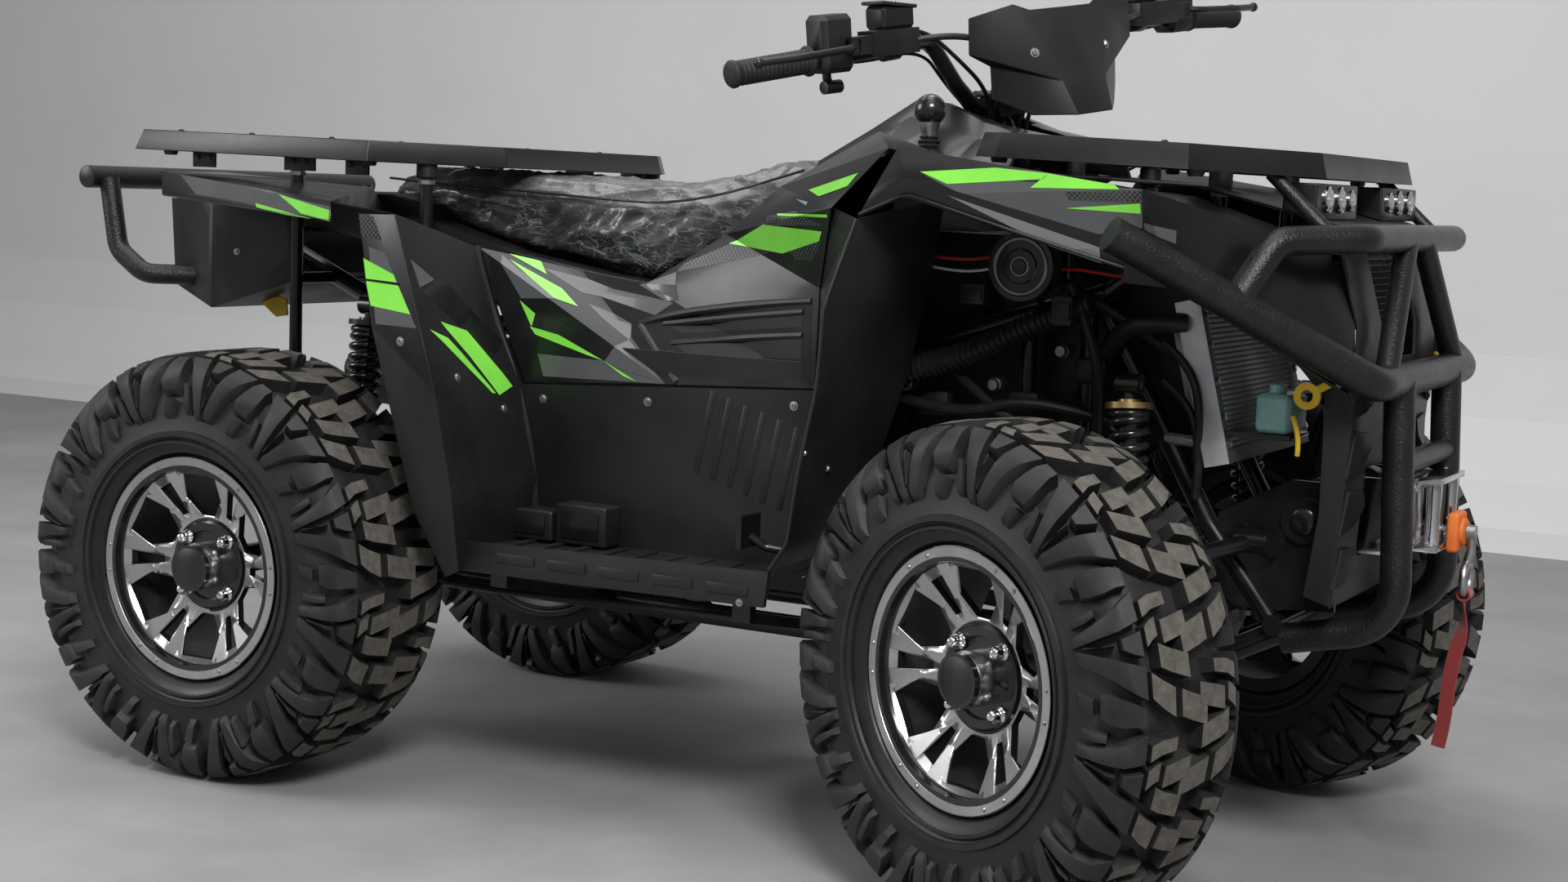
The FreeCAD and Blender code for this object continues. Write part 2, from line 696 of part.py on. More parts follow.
def side_panel():
    """The decal panel under the seat and the ribbed knee panel ahead of it."""
    corners = {"s0": V(-329.7, -300, 800), "s1": V(-203, -215, 771), "s2": V(-90, -215, 757), "s3": V(42, -215, 835),
               "s4": V(130, -220, 905), "s5": V(290, -236, 985), "h0": V(-241, -300, 607), "h1": V(1, -300, 622),
               "h2": V(239.5, -300, 634), "h3": V(241.5, -300, 770), "h4": V(296.5, -380, 880),
               "h5": V(410, -448, 958), "s6": V(424, -239, 944)}
    facets = [("s0", "h0", "h1", "s1"), ("s1", "h1", "s2"), ("s2", "h1", "h2", "h3"), ("s2", "h3", "s3"),
              ("s3", "h3", "h4", "s4"), ("s4", "h4", "h5", "s5"), ("s5", "h5", "s6")]
    return pressed(corners, facets, V(0, panel_wall, -panel_wall * 0.2))


def nose():
    """Hood and front shield, with the grille's and the winch's openings."""
    corners = {}
    for side, mark in ((-1, "r"), (1, "l")):
        corners[mark + "0"] = V(484, side * 238, 938)
        corners[mark + "1"] = V(747, side * 238, 926)
        corners[mark + "2"] = V(915, side * 200, 885)
        corners[mark + "3"] = V(950, side * 200, 760)
        corners[mark + "4"] = V(952, side * 200, 700)
        corners[mark + "5"] = V(935, side * 190, 400)
    facets = [("r%d" % n, "r%d" % (n + 1), "l%d" % (n + 1), "l%d" % n) for n in range(5)]
    shield = pressed(corners, facets, V(-panel_wall * 1.3, 0, -panel_wall))
    mouth = box((900, 1100), (-100, 100), (455, 572))
    grille = box((900, 1100), (-90, 90), (712, 860))
    return shield.cut(mouth).cut(grille)


# Racks
def rack_sheet_metal(outline, holes, height):
    """A pressed sheet whose flange leans out a little all round."""
    top = Part.Wire(Part.makePolygon([V(x, y, height) for x, y in outline + outline[:1]]))
    bottom = top.makeOffset2D(rack_flare, 2)
    bottom.translate(V(0, 0, -rack_flange))
    body = Part.makeLoft([bottom, top], True, True)
    inner_top = top.makeOffset2D(-rack_sheet, 2)
    inner_bottom = inner_top.makeOffset2D(rack_flare * 1.1, 2)
    inner_top.translate(V(0, 0, -rack_sheet))
    inner_bottom.translate(V(0, 0, -rack_flange * 1.1 - rack_sheet))
    hollow = Part.makeLoft([inner_bottom, inner_top], True, True)
    cuts = [flat_plate(hole, height - rack_sheet - 1, height + 1) for hole in holes]
    return body.cut(hollow).cut(Part.makeCompound(cuts))


def slots(x0, x1, y0, y1, count, bar):
    """Equal slots side by side across y, with bars between."""
    pitch = (y1 - y0 + bar) / count
    return [[(x0, y0 + pitch * n), (x1, y0 + pitch * n), (x1, y0 + pitch * (n + 1) - bar),
             (x0, y0 + pitch * (n + 1) - bar)] for n in range(count)]


def front_rack():
    half = rack_half_width
    side = [(front_rack_rear, -half + 60), (front_rack_rear + 50, -half), (front_rack_corner, -half),
            (front_rack_nose, -rack_nose_half)]
    outline = side + [(x, -y) for x, y in reversed(side)]
    holes = slots(565, 645, -330, 330, 6, 40) + slots(662, 728, -330, 330, 6, 40) + slots(765, 845, -213, 213, 4, 40)
    shape = rack_sheet_metal(outline, holes, front_rack_height)
    return turned(shape, V(front_rack_rear, 0, front_rack_height), ACROSS, 1.8)


def rear_rack():
    half = rack_half_width
    side = [(rear_rack_rear, -half), (rear_rack_corner, -half), (rear_rack_front, -rack_nose_half)]
    outline = side + [(x, -y) for x, y in reversed(side)]
    holes = slots(-850, -740, -330, 330, 6, 40) + slots(-690, -580, -330, 330, 6, 40)
    shape = rack_sheet_metal(outline, holes, rear_rack_height)
    return turned(shape, V(rear_rack_rear, 0, rear_rack_height), ACROSS, 0.92)


# Bumpers
def front_bumper():
    main = pipe([V(722, -478, 865), V(985, -238, 690), V(985, 238, 690), V(722, 478, 865)], bumper_radius, 55)
    top = pipe([V(843, -368, 786), V(877, -326, 862), V(962, -236, 868), V(962, 236, 868), V(877, 326, 862),
                V(843, 368, 786)], loop_radius, 42)
    parts = [main, top]
    for side in (-1, 1):
        parts.append(rod(V(964, side * 42, 866), V(984, side * 185, 694), 15))
        parts.append(pipe([V(988, side * 128, 690), V(1002, side * 128, 372), V(858, side * 128, 341)], 20, 70))
        parts.append(rod(V(738, side * 464, 854), V(738, side * (432 + running_gap), 854), 12))
        parts.append(rod(V(848, side * 268, 940), V(848, side * 268, 969.1), 9))
        parts.append(rod(V(848, side * 268, 944), V(932, side * 268, 866), 9))
    parts.append(rod(V(993, -128, 583), V(993, 128, 583), 15))
    return joined(parts)


def rear_bumper():
    top = rod(V(-1071, -350, 880), V(-1071, 350, 880), 18)
    parts = [top]
    for side in (-1, 1):
        parts.append(pipe([V(-1055, side * 318, 878), V(-1034, side * 318, 765), V(-985, side * 310, 728),
                           V(-905, side * 250, 728), V(-905, side * 164.3, 812)], 16, 40))
    return joined(parts)


# Winch and its hook
def winch():
    x = 893
    z = 514
    drum = [rod(V(x, -112, z), V(x, -50, z), 40), rod(V(x, -52, z), V(x, 52, z), 26),
            rod(V(x, 50, z), V(x, 112, z), 40), box((x - 30, x + 30), (-60, 60), (458 + running_gap, 494))]
    return joined(drum)


def fairlead():
    plate = box((1000, 1006), (-92, 92), (466, 562)).cut(box((990, 1010), (-36, 36), (482, 546)))
    parts = [plate, box((1005, 1034), (-70, 70), (466, 474)), box((1005, 1034), (-70, 70), (554, 562))]
    for side in (-1, 1):
        parts.append(rod(V(1022, side * 46, 472), V(1022, side * 46, 556), 9))
        parts.append(box((934, 1001), sorted((side * 78, side * 84)), (462, 558)))
        parts.append(box((915, 1001), sorted((side * 78, side * 84)), (458 + running_gap, 470)))
    return joined(parts)


strap_route = [(1059.5, 400), (1058, 360), (1052, 320), (1047, 275), (1042, 235), (1038, 197)]


# Handlebar, drawn straight ahead
bar_radius = 11
grip_radius = 16
bar_tilt = 22
bar_side = [V(0, 42, 0), V(3, 84, 40), V(10, 138, 106), V(46, 225, 106), V(18, 490, 91)]


def bar_point(n, side):
    local = bar_side[n]
    return clamp_point + V(local.x, side * local.y, local.z)


def handlebar():
    route = [bar_point(n, -1) for n in reversed(range(5))] + [bar_point(n, 1) for n in range(5)]
    return pipe(route, bar_radius, 60)


def grip(side):
    start = bar_point(3, side)
    end = bar_point(4, side)
    way = (end - start).normalize()
    body = rod(end - way * 119, end + way * 6, grip_radius)
    return body.cut(rod(start, end + way * running_gap, bar_radius + running_gap))


def pod():
    """Faceted shield ahead of the bar, half of it by named corners."""
    c = clamp_point
    corners = {"m0": c + V(133, 0, 141), "m1": c + V(174, 0, 44), "m2": c + V(191, 0, -2),
               "n0": c + V(129, 59, 141), "n1": c + V(170, 42, 44), "n2": c + V(190, 34, -2),
               "o0": c + V(121, 82, 150), "p0": c + V(112, 156, 137), "p1": c + V(112, 158, 88),
               "p2": c + V(115, 122, 70), "p3": c + V(115, 121, 25), "p4": c + V(150, 80, 1)}
    facets = [("m0", "n0", "n1", "m1"), ("m1", "n1", "n2", "m2"), ("n0", "o0", "n1"), ("o0", "p0", "p1", "n1"),
              ("p1", "p2", "n1"), ("p2", "p3", "p4", "n1"), ("p4", "n2", "n1")]
    half = pressed(corners, facets, V(-3.5, 0, -1))
    stay = prism([c + V(8, -9, 2), c + V(8, 9, 2), c + V(153, 9, 84), c + V(153, -9, 84)], V(-2, 0, 4))
    return joined([half, mirrored(half), stay])


# Hand controls, drawn straight ahead, with bar_way along the grip from point 3 outwards
def bar_frame(side):
    start = bar_point(3, side)
    return start, (bar_point(4, side) - start).normalize()


def switch_box(side):
    start, way = bar_frame(side)
    at = start + way * 114
    body = box((at.x - 22, at.x + 22), sorted((at.y - side * 27, at.y + side * 26)), (at.z - 20, at.z + 56))
    parts = [body.makeChamfer(7, body.Edges)]
    if side < 0:
        tip = V(at.x - 14, at.y + 12, at.z - 40)
        route = [V(at.x - 8, at.y, at.z - 10), V(at.x - 16, at.y + 6, at.z - 30), tip]
        parts.append(pipe(route, 6, 14))
        parts.append(rod(tip - V(0, 14, 0), tip + V(0, 14, 0), 9))
    return joined(parts).cut(rod(start, start + way * 180, bar_radius))


def lever_pivot(side):
    start, way = bar_frame(side)
    return start + way * 102 + V(35, 0, 13)


def brake_perch(side):
    """Clamp, fluid tank and the fork that holds the lever."""
    start, way = bar_frame(side)
    at = start + way * 18
    pivot = lever_pivot(side)
    clamp = rod(at - way * 12, at + way * 12, 18)
    tank = box((at.x - 16, at.x + 24), sorted((at.y - side * 30, at.y + side * 28)), (at.z + 24, at.z + 56))
    body = box((at.x + 2, at.x + 34), sorted((at.y - side * 26, at.y + side * 56)), (at.z - 8, at.z + 25))
    parts = [clamp, tank.makeChamfer(5, tank.Edges), body]
    web_y = sorted((at.y + side * 50, pivot.y - side * (7 + running_gap)))
    parts.append(box((pivot.x - 12, pivot.x + 6), web_y, (pivot.z - 12, pivot.z + 12)))
    for low in (pivot.z + 8 + running_gap, pivot.z - 12):
        high = low + 4 - running_gap
        ear_y = sorted((at.y + side * 50, pivot.y + side * 5))
        parts.append(box((pivot.x - 10, pivot.x + 6), ear_y, (low, high)))
    return joined(parts).cut(rod(start - way * 30, start + way * 90, bar_radius))


def brake_lever(side):
    pivot = lever_pivot(side)
    route = [pivot, pivot + V(13, side * 20, -2), pivot + V(10, side * 104, -6), pivot + V(-4, side * 158, -8)]
    tip = route[-1]
    return joined([pipe(route, 5, 30), rod(pivot - UP * 8, pivot + UP * 8, 6.5), Part.makeSphere(7, tip)])


# Small pieces on the chassis
def headlight():
    """Its floor follows the hood."""
    slope = (926 - 885) / (915 - 747)
    corners = [(x, 926 - (x - 747) * slope + running_gap) for x in (858, 901)] + [(901, 934), (858, 934)]
    return side_plate(corners, -250, -62)


def tail_lamp():
    return box((-1000, -978), (-215, -125), (806, 840))


def intake_duct():
    duct = pipe([V(300, -190, 650), V(429, -188, 692), V(511, -188, 734), V(591, -190, 766)], 15, 50)
    return joined([duct, rod(V(470, -188, 714), V(470, -150, 740), 5)])


def horn():
    can = rod(V(506, -232, 812), V(506, -198, 812), 44)
    return joined([can, rod(V(506, -205, 790), V(506, -140, 752), 5)])


def coolant_bottle():
    tank = box((815, 862), (-172, -92), (612, 664))
    return joined([tank.makeChamfer(6, tank.Edges), rod(V(838, -150, 660), V(838, -150, 676), 11)])


def tie_down_eye():
    ring = rod(V(896, -222, 669), V(896, -216, 669), 17).cut(rod(V(896, -223, 669), V(896, -215, 669), 8))
    return joined([ring, rod(V(909, -219, 678), V(956, -204, 706), 5)])


def winch_rope():
    start = V(893, 4, 514)
    end = V(1034 + running_gap, 4, 488)
    rope = rod(start, end - (end - start).normalize(), 4)
    return rope.cut(rod(V(893, -60, 514), V(893, 60, 514), 26 + running_gap))


def hook_stopper():
    face = 1034 + running_gap
    return joined([rod(V(face, 4, 488), V(face + 16, 4, 488), 27), rod(V(face + 16, 4, 488), V(face + 22, 4, 488), 18)])


def hook_ring(radius):
    return Part.makeTorus(20, radius, V(1059.5, 4, 426), ALONG)


def winch_hook():
    shank = rod(V(1056.5 + running_gap, 4, 488), V(1068, 4, 488), 10)
    neck = pipe([V(1063, 4, 486), V(1063, 4, 464), V(1059.5, 4, 448)], 6, 12)
    return joined([shank, neck, hook_ring(5.5)])


def hook_strap():
    """A flat band that hangs from the hook's ring."""
    front = [(x + 1.5, z) for x, z in strap_route]
    back = [(x - 1.5, z) for x, z in reversed(strap_route)]
    band = side_plate(front + back, -8, 16)
    loop = rod(V(1059.5, -8, 406), V(1059.5, 16, 406), 9)
    return joined([band, loop]).cut(hook_ring(5.5 + running_gap))


def brake_pedal():
    pad = box((198, 206), (-428, -376), (424, 468))
    return joined([pad, pipe([V(204, -402, 440), V(222, -390, 424), V(262, -372, 418)], 6, 14)])


def shift_lever():
    knob = Part.makeSphere(22, V(347, -198, 1016))
    neck = Part.makeCone(9, 15, 30, V(348, -198, 972), V(-0.03, 0, 1))
    return joined([knob, neck, rod(V(349, -198, 930), V(348, -198, 978), 6)])


# Build
os.makedirs("parts", exist_ok=True)

front_tyre = tyre(front_tyre_width, front_lip_offset)
rear_tyre = tyre(rear_tyre_width, rear_lip_offset)
front_rim = rim(front_lip_offset)
rear_rim = rim(rear_lip_offset)
for side, word in ((-1, "right"), (1, "left")):
    for shape, name in ((front_tyre, "tyre"), (front_rim, "rim")):
        straight = place_wheel(shape, axle_front, front_half_track, side)
        save(name + "_front_" + word, [turned(straight, kingpin(side), UP, rest_steer)])
    for shape, name in ((rear_tyre, "tyre"), (rear_rim, "rim")):
        save(name + "_rear_" + word, [place_wheel(shape, axle_rear, rear_half_track, side)])
    save("knuckle_" + word, [knuckle(side)])
    save("tie_rod_" + word, [tie_rod(side)])

base = lower_frame()
top_tubes = upper_frame()
uprights = [solid for solid in frame_uprights().cut([base, top_tubes]).Solids if solid.Volume > 2000]
board_rails = [solid for solid in joined(floor_rails()).cut(base).Solids if solid.Volume > 2000]
chassis = [base, top_tubes] + uprights + board_rails
motor = engine()
guards = rear_guard()
shields = leg_shield()
wells = kept(footwell().cut(guards).cut(shields))
panels = side_panel()
fenders = kept(rear_fender().cut(guards).cut(panels).cut(chassis))
wings = kept(fender_panel().cut(shields).cut(chassis))
handle = kept(rear_bumper().cut(chassis))
dash = kept(console().cut(chassis))
cooler = kept(radiator().cut(chassis))
save("frame", [base])
save("frame_top", [top_tubes])
save("frame_uprights", uprights)
save("floor_rails", board_rails)
save("front_arms", front_arms())
save("rear_arms", rear_arms())
save("shocks", pair(shock(front_shock_top, front_shock_foot)) + pair(shock(rear_shock_top, rear_shock_foot)))
save("springs", pair(coil(front_shock_top, front_shock_foot)) + pair(coil(rear_shock_top, rear_shock_foot)))
save("engine", [motor])
save("exhaust", [kept(exhaust().cut(motor).cut(chassis))])
save("gear_cases", [joined(gear_case(axle_front, -120)), rear_case()])
save("drive_shafts", drive_shafts())
save("radiator", [cooler])
save("front_fenders", pair(wings))
save("leg_shields", pair(shields))
save("footwells", pair(wells))
save("rear_guards", pair(guards))
save("rear_fenders", pair(fenders))
save("side_panels", pair(panels))
save("console", [dash])
save("nose", [kept(nose().cut(chassis))])
rear_box = kept(tail().cut(chassis).cut(handle))
save("tail", [rear_box])
save("headlights", pair(headlight()))
save("tail_lamps", pair(kept(tail_lamp().cut(rear_box))))
save("intake_duct", [kept(intake_duct().cut(chassis))])
save("horn", [kept(horn().cut(chassis))])
save("coolant_bottle", [coolant_bottle()])
save("tie_down_eyes", pair(tie_down_eye()))
save("brake_pedal", [kept(brake_pedal().cut(shields))])
save("shift_lever", [kept(shift_lever().cut(dash))])
save("winch_rope", [winch_rope()])
save("hook_stopper", [hook_stopper()])
save("winch_hook", [winch_hook()])
save("hook_strap", [hook_strap()])
seat_rows = [(-612, 170, 160, 872, 908, 20), (-508, 185, 175, 842, 905, 25), (-322, 190, 180, 794, 899, 30),
             (-170, 190, 180, 770, 893, 32), (-87, 190, 180, 762, 894, 32), (0, 185, 170, 805, 908, 32),
             (60, 178, 155, 846, 928, 28), (134.7, 160, 135, 900, 950, 18)]
save("seat", [ribbed_loft([cross_section(*row) for row in seat_rows])])
save("front_rack", [front_rack()])
save("rear_rack", [rear_rack()])
save("front_bumper", [kept(front_bumper().cut(chassis))])
save("rear_bumper", [handle])
save("winch", [winch()])
save("fairlead", [fairlead()])
bar = on_bar(handlebar())
column = kept(steering_column().cut(bar))
save("handlebar", [bar])
save("grips", [on_bar(grip(-1)), on_bar(grip(1))])
save("switch_boxes", [on_bar(switch_box(side)) for side in (-1, 1)])
save("brake_perches", [kept(on_bar(brake_perch(side)).cut(bar)) for side in (-1, 1)])
save("brake_levers", [on_bar(brake_lever(side)) for side in (-1, 1)])
save("pod", [kept(on_bar(pod()).cut(column).cut(bar))])
save("steering_column", [column])
for name, solids in saved.items():
    for solid in solids:
        if not solid.isValid() or solid.Volume <= 0:
            print("check", name, solid.isValid(), round(solid.Volume))
box_all = FreeCAD.BoundBox()
for solids in saved.values():
    for solid in solids:
        box_all.add(solid.BoundBox)
print("box", box_all)
print("nodes", len(saved))
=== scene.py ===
"""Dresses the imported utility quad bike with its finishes, rubber, vinyl and small parts.

Places are written in millimetres from the middle of the wheelbase: x runs forward, y to the rider's
left and z up, with the ground at z = 0. spot() turns them into the frame's metres.
"""
import json
import math
import bpy
import bmesh
from bpy.props import FloatProperty, FloatVectorProperty, IntProperty, PointerProperty
from mathutils import Euler, Matrix, Vector, noise
from mathutils.bvhtree import BVHTree
from mathutils.geometry import tessellate_polygon

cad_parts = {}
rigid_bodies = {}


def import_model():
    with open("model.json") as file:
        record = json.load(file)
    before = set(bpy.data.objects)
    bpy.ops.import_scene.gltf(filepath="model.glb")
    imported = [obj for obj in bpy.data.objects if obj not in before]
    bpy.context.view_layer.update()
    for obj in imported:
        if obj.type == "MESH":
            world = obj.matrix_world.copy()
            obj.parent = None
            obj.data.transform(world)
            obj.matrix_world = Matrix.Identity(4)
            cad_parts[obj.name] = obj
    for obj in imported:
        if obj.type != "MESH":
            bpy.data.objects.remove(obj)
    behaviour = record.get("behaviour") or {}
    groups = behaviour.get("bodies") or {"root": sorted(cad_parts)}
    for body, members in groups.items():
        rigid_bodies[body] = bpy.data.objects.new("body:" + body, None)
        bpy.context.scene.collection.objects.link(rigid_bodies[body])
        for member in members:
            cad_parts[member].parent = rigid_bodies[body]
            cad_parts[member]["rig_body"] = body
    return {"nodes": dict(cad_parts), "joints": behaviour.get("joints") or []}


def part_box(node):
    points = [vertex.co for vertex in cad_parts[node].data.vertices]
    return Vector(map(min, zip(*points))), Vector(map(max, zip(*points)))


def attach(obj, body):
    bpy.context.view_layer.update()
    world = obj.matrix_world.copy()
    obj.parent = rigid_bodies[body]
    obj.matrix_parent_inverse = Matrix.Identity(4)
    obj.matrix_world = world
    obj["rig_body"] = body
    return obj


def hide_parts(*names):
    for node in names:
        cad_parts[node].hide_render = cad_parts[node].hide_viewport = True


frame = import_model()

bl_info = {
    "name": "Utility Quad Bike",
    "version": (1, 0, 0),
    "blender": (4, 5, 0),
    "location": "View3D > Sidebar > Quad",
    "description": "Builds the finishes and detail pieces of a utility quad bike",
    "category": "Object",
}

NODES = frame["nodes"]
AXES = {joint["child"]: joint for joint in frame["joints"]}
CENTRE_SHIFT = 10
FULL_TURN = 2 * math.pi
AHEAD = Vector((1, 0, 0))
LEFT = Vector((0, 1, 0))
RIGHT = -LEFT
UP = Vector((0, 0, 1))


# Sizes and colours
class QuadSizes(bpy.types.PropertyGroup):
    tread_pitches: IntProperty(name="Tread pitches", description="Lug patterns round each tyre",
                               default=12, min=8, max=16)
    lug_ease: FloatProperty(name="Lug edge", description="Width of the worn edge of each tread lug",
                            default=0.0016, min=0.0002, max=0.004, unit="LENGTH")
    panel_ease: FloatProperty(name="Panel edge", description="Radius of the plastic shell's moulded edges",
                              default=0.0022, min=0.0002, max=0.006, unit="LENGTH")
    spring_wire: FloatProperty(name="Spring wire", description="Radius of the suspension springs' wire",
                               default=0.006, min=0.003, max=0.008, unit="LENGTH")
    spring_turns: IntProperty(name="Spring turns", description="Turns of each suspension spring",
                              default=19, min=5, max=24)
    radiator_fins: IntProperty(name="Radiator fins", description="Rows of folded fins across the radiator",
                               default=26, min=10, max=40)
    grip_ribs: IntProperty(name="Grip ribs", description="Raised rings along each rubber grip",
                           default=15, min=6, max=30)
    seat_swell: FloatProperty(name="Seat swell", description="Furthest that the seat's foam may stand out",
                              default=0.012, min=0.002, max=0.022, unit="LENGTH")
    rope_turns: IntProperty(name="Rope turns", description="Turns of rope on the winch's drum",
                            default=12, min=6, max=14)


class QuadColours(bpy.types.PropertyGroup):
    decal_green: FloatVectorProperty(name="Stripe green", description="Bright stripes on the side panels",
                                     default=(0.25, 0.80, 0.08), min=0, max=1, subtype="COLOR")
    decal_grey: FloatVectorProperty(name="Stripe grey", description="Grey bands of the decals",
                                    default=(0.092, 0.094, 0.098), min=0, max=1, subtype="COLOR")
    pale_grey: FloatVectorProperty(name="Pale grey", description="Lightest bands of the decals",
                                   default=(0.21, 0.212, 0.216), min=0, max=1, subtype="COLOR")
    moulded_grey: FloatVectorProperty(name="Moulded grey", description="Grey plastic of nose and bar shield",
                                      default=(0.013, 0.0132, 0.014), min=0, max=1, subtype="COLOR")
    tread_dust: FloatVectorProperty(name="Tread dust", description="Dust on the tops of the tread lugs",
                                    default=(0.135, 0.122, 0.104), min=0, max=1, subtype="COLOR")


# The camera: place in metres, turn to the left, downward tilt and roll in degrees, lens in mm
VIEWPOINT = Vector((1.7022, -3.0249, 0.9046))
VIEW_TURN = (28.780, 6.362, -2.150)
LENS = 52.25


def view_axes():
    """The picture's right, down and forward directions."""
    turn, dip, roll = (math.radians(angle) for angle in VIEW_TURN)
    look = Vector((-math.sin(turn) * math.cos(dip), math.cos(turn) * math.cos(dip), -math.sin(dip)))
    level = Vector((math.cos(turn), math.sin(turn), 0))
    down = look.cross(level)
    return level * math.cos(roll) + down * math.sin(roll), down * math.cos(roll) - level * math.sin(roll), look


# Places
def spot(x, y, z):
    return Vector((x + CENTRE_SHIFT, y, z)) / 1000


def side_spots(rows, side):
    return [spot(x, side * y, z) for x, y, z in rows]


def upright(rows, y):
    """Places of a flat outline of (x, z) at y."""
    return [spot(x, y, z) for x, z in rows]


def mirrored(vector, side):
    return Vector((vector.x, side * vector.y, vector.z))


def frame_of(axis):
    """Two directions square to an axis."""
    axis = axis.normalized()
    up = AHEAD if abs(axis.dot(UP)) > 0.98 else UP
    first = up.cross(axis).normalized()
    return first, axis.cross(first).normalized()


# Node trees
MIX_FIRST, MIX_SECOND, MIX_RESULT = 6, 7, 2
COAT_ROUGHNESS = 0.08
DUST_COLOUR = (0.30, 0.29, 0.27)
VINYL_BLACK = (0.010, 0.010, 0.0105)
# The white of the film's painted sheen and of the painted highlights along its creases
FILM_SHEEN_WHITE = (0.62, 0.63, 0.64)
# Creases of the loose wrap, which bump the coat and carry painted highlights: rows of (scale, angle in
# degrees, width)
CREASES = ((9, 30, 0.012), (19, -24, 0.016), (34, 12, 0.018))


def feed(tree, node, inputs):
    """Sets a node's inputs, by name or number, to sockets or values."""
    for key, value in dict(inputs).items():
        if isinstance(value, bpy.types.NodeSocket):
            tree.links.new(value, node.inputs[key])
        else:
            node.inputs[key].default_value = value


def put(tree, kind, inputs=(), **settings):
    """Adds a node; inputs are sockets or values by name or number."""
    node = tree.nodes.new(kind)
    for key, value in settings.items():
        setattr(node, key, value)
    feed(tree, node, inputs)
    return node


def new_finish(name):
    """An empty finish, in the frame's own material where it has one, with its tree, shader and coordinates."""
    material = bpy.data.materials.get(name) or bpy.data.materials.new(name)
    material.use_nodes = True
    tree = material.node_tree
    tree.nodes.clear()
    shader = put(tree, "ShaderNodeBsdfPrincipled")
    put(tree, "ShaderNodeOutputMaterial", {"Surface": shader.outputs["BSDF"]})
    return material, tree, shader, put(tree, "ShaderNodeTexCoord").outputs["Object"]


def mixed(tree, factor, first, second):
    """A colour between two, which are sockets or plain colours."""
    first, second = (colour if isinstance(colour, bpy.types.NodeSocket) else (*colour, 1)
                     for colour in (first, second))
    inputs = {0: factor, MIX_FIRST: first, MIX_SECOND: second}
    return put(tree, "ShaderNodeMix", inputs, data_type="RGBA").outputs[MIX_RESULT]


def ranged(tree, value, low, high, to_low, to_high):
    inputs = {"Value": value, "From Min": low, "From Max": high, "To Min": to_low, "To Max": to_high}
    return put(tree, "ShaderNodeMapRange", inputs).outputs["Result"]


def noise_of(tree, where, scale, detail=3.0, roughness=0.55, distortion=0.0):
    inputs = {"Vector": where, "Scale": scale, "Detail": detail, "Roughness": roughness,
              "Distortion": distortion}
    return put(tree, "ShaderNodeTexNoise", inputs).outputs["Fac"]


def relief(tree, height, depth, strength=1.0):
    """A bump whose full height is depth in metres."""
    inputs = {"Height": height, "Distance": depth, "Strength": strength}
    return put(tree, "ShaderNodeBump", inputs).outputs["Normal"]


def maths(tree, operation, *values, **settings):
    return put(tree, "ShaderNodeMath", enumerate(values), operation=operation, **settings).outputs[0]


def from_middle(tree, place):
    """The distance of a plane coordinate from (0.5, 0.5)."""
    away = put(tree, "ShaderNodeVectorMath", {0: place, 1: (0.5, 0.5, 0)}, operation="SUBTRACT").outputs[0]
    return put(tree, "ShaderNodeVectorMath", {0: away}, operation="LENGTH").outputs["Value"]


def facing_up(tree):
    """How far the surface faces upward, from -1 to 1."""
    normal = put(tree, "ShaderNodeNewGeometry").outputs["Normal"]
    return put(tree, "ShaderNodeSeparateXYZ", {"Vector": normal}).outputs["Z"]


def bands(tree, where, direction, scale, distortion):
    return put(tree, "ShaderNodeTexWave", {"Vector": where, "Scale": scale, "Distortion": distortion},
               bands_direction=direction).outputs["Fac"]


def shade(colour, share):
    return tuple(part * share for part in colour)


def surface(name, dark, light, rough, patches, grain, metal=0.0, coat=0.0, dust=0.0, specular=0.4):
    """A moulded, painted or cast surface: patchy colour, uneven gloss, fine grain and settled dust.

    rough is a range of roughness, patches counts patches to a metre, and grain is (scale, depth in metres).
    """
    material, tree, shader, where = new_finish(name)
    cloud = noise_of(tree, where, patches, 5, 0.62)
    grain_scale, grain_depth = grain
    fine = noise_of(tree, where, grain_scale, 3, 0.6)
    colour = mixed(tree, ranged(tree, cloud, 0.35, 0.68, 0, 1), dark, light)
    if dust:
        lying = ranged(tree, facing_up(tree), 0.1, 1, 0.1 * dust, dust)
        drifts = ranged(tree, noise_of(tree, where, 55, 6, 0.7), 0.42, 0.66, 0.2, 1)
        colour = mixed(tree, maths(tree, "MULTIPLY", lying, drifts), colour, DUST_COLOUR)
    feed(tree, shader, {"Base Color": colour, "Roughness": ranged(tree, cloud, 0.3, 0.7, *rough),
                        "Normal": relief(tree, fine, grain_depth), "Metallic": metal, "Coat Weight": coat,
                        "Coat Roughness": COAT_ROUGHNESS, "Specular IOR Level": specular})
    return material


def lathe_metal(name, colour, rough, depth):
    """Turned metal: fine rings about the wheel's axis, from the piece's own plane coordinates."""
    material, tree, shader, where = new_finish(name)
    plane = put(tree, "ShaderNodeUVMap", uv_map="wheel_plane").outputs["UV"]
    radius = from_middle(tree, plane)
    stripe = put(tree, "ShaderNodeCombineXYZ", {"X": radius}).outputs[0]
    rings = noise_of(tree, stripe, 1500, 4, 0.7)
    cloud = noise_of(tree, where, 18, 4)
    tint = mixed(tree, ranged(tree, rings, 0.35, 0.65, 0, 1), shade(colour, 0.72), colour)
    dull = ranged(tree, cloud, 0.4, 0.7, 0, 0.35)
    feed(tree, shader, {"Base Color": mixed(tree, dull, tint, (0.22, 0.22, 0.225)),
                        "Roughness": ranged(tree, cloud, 0.3, 0.7, *rough),
                        "Normal": relief(tree, rings, depth, 0.6), "Metallic": 1.0})
    return material


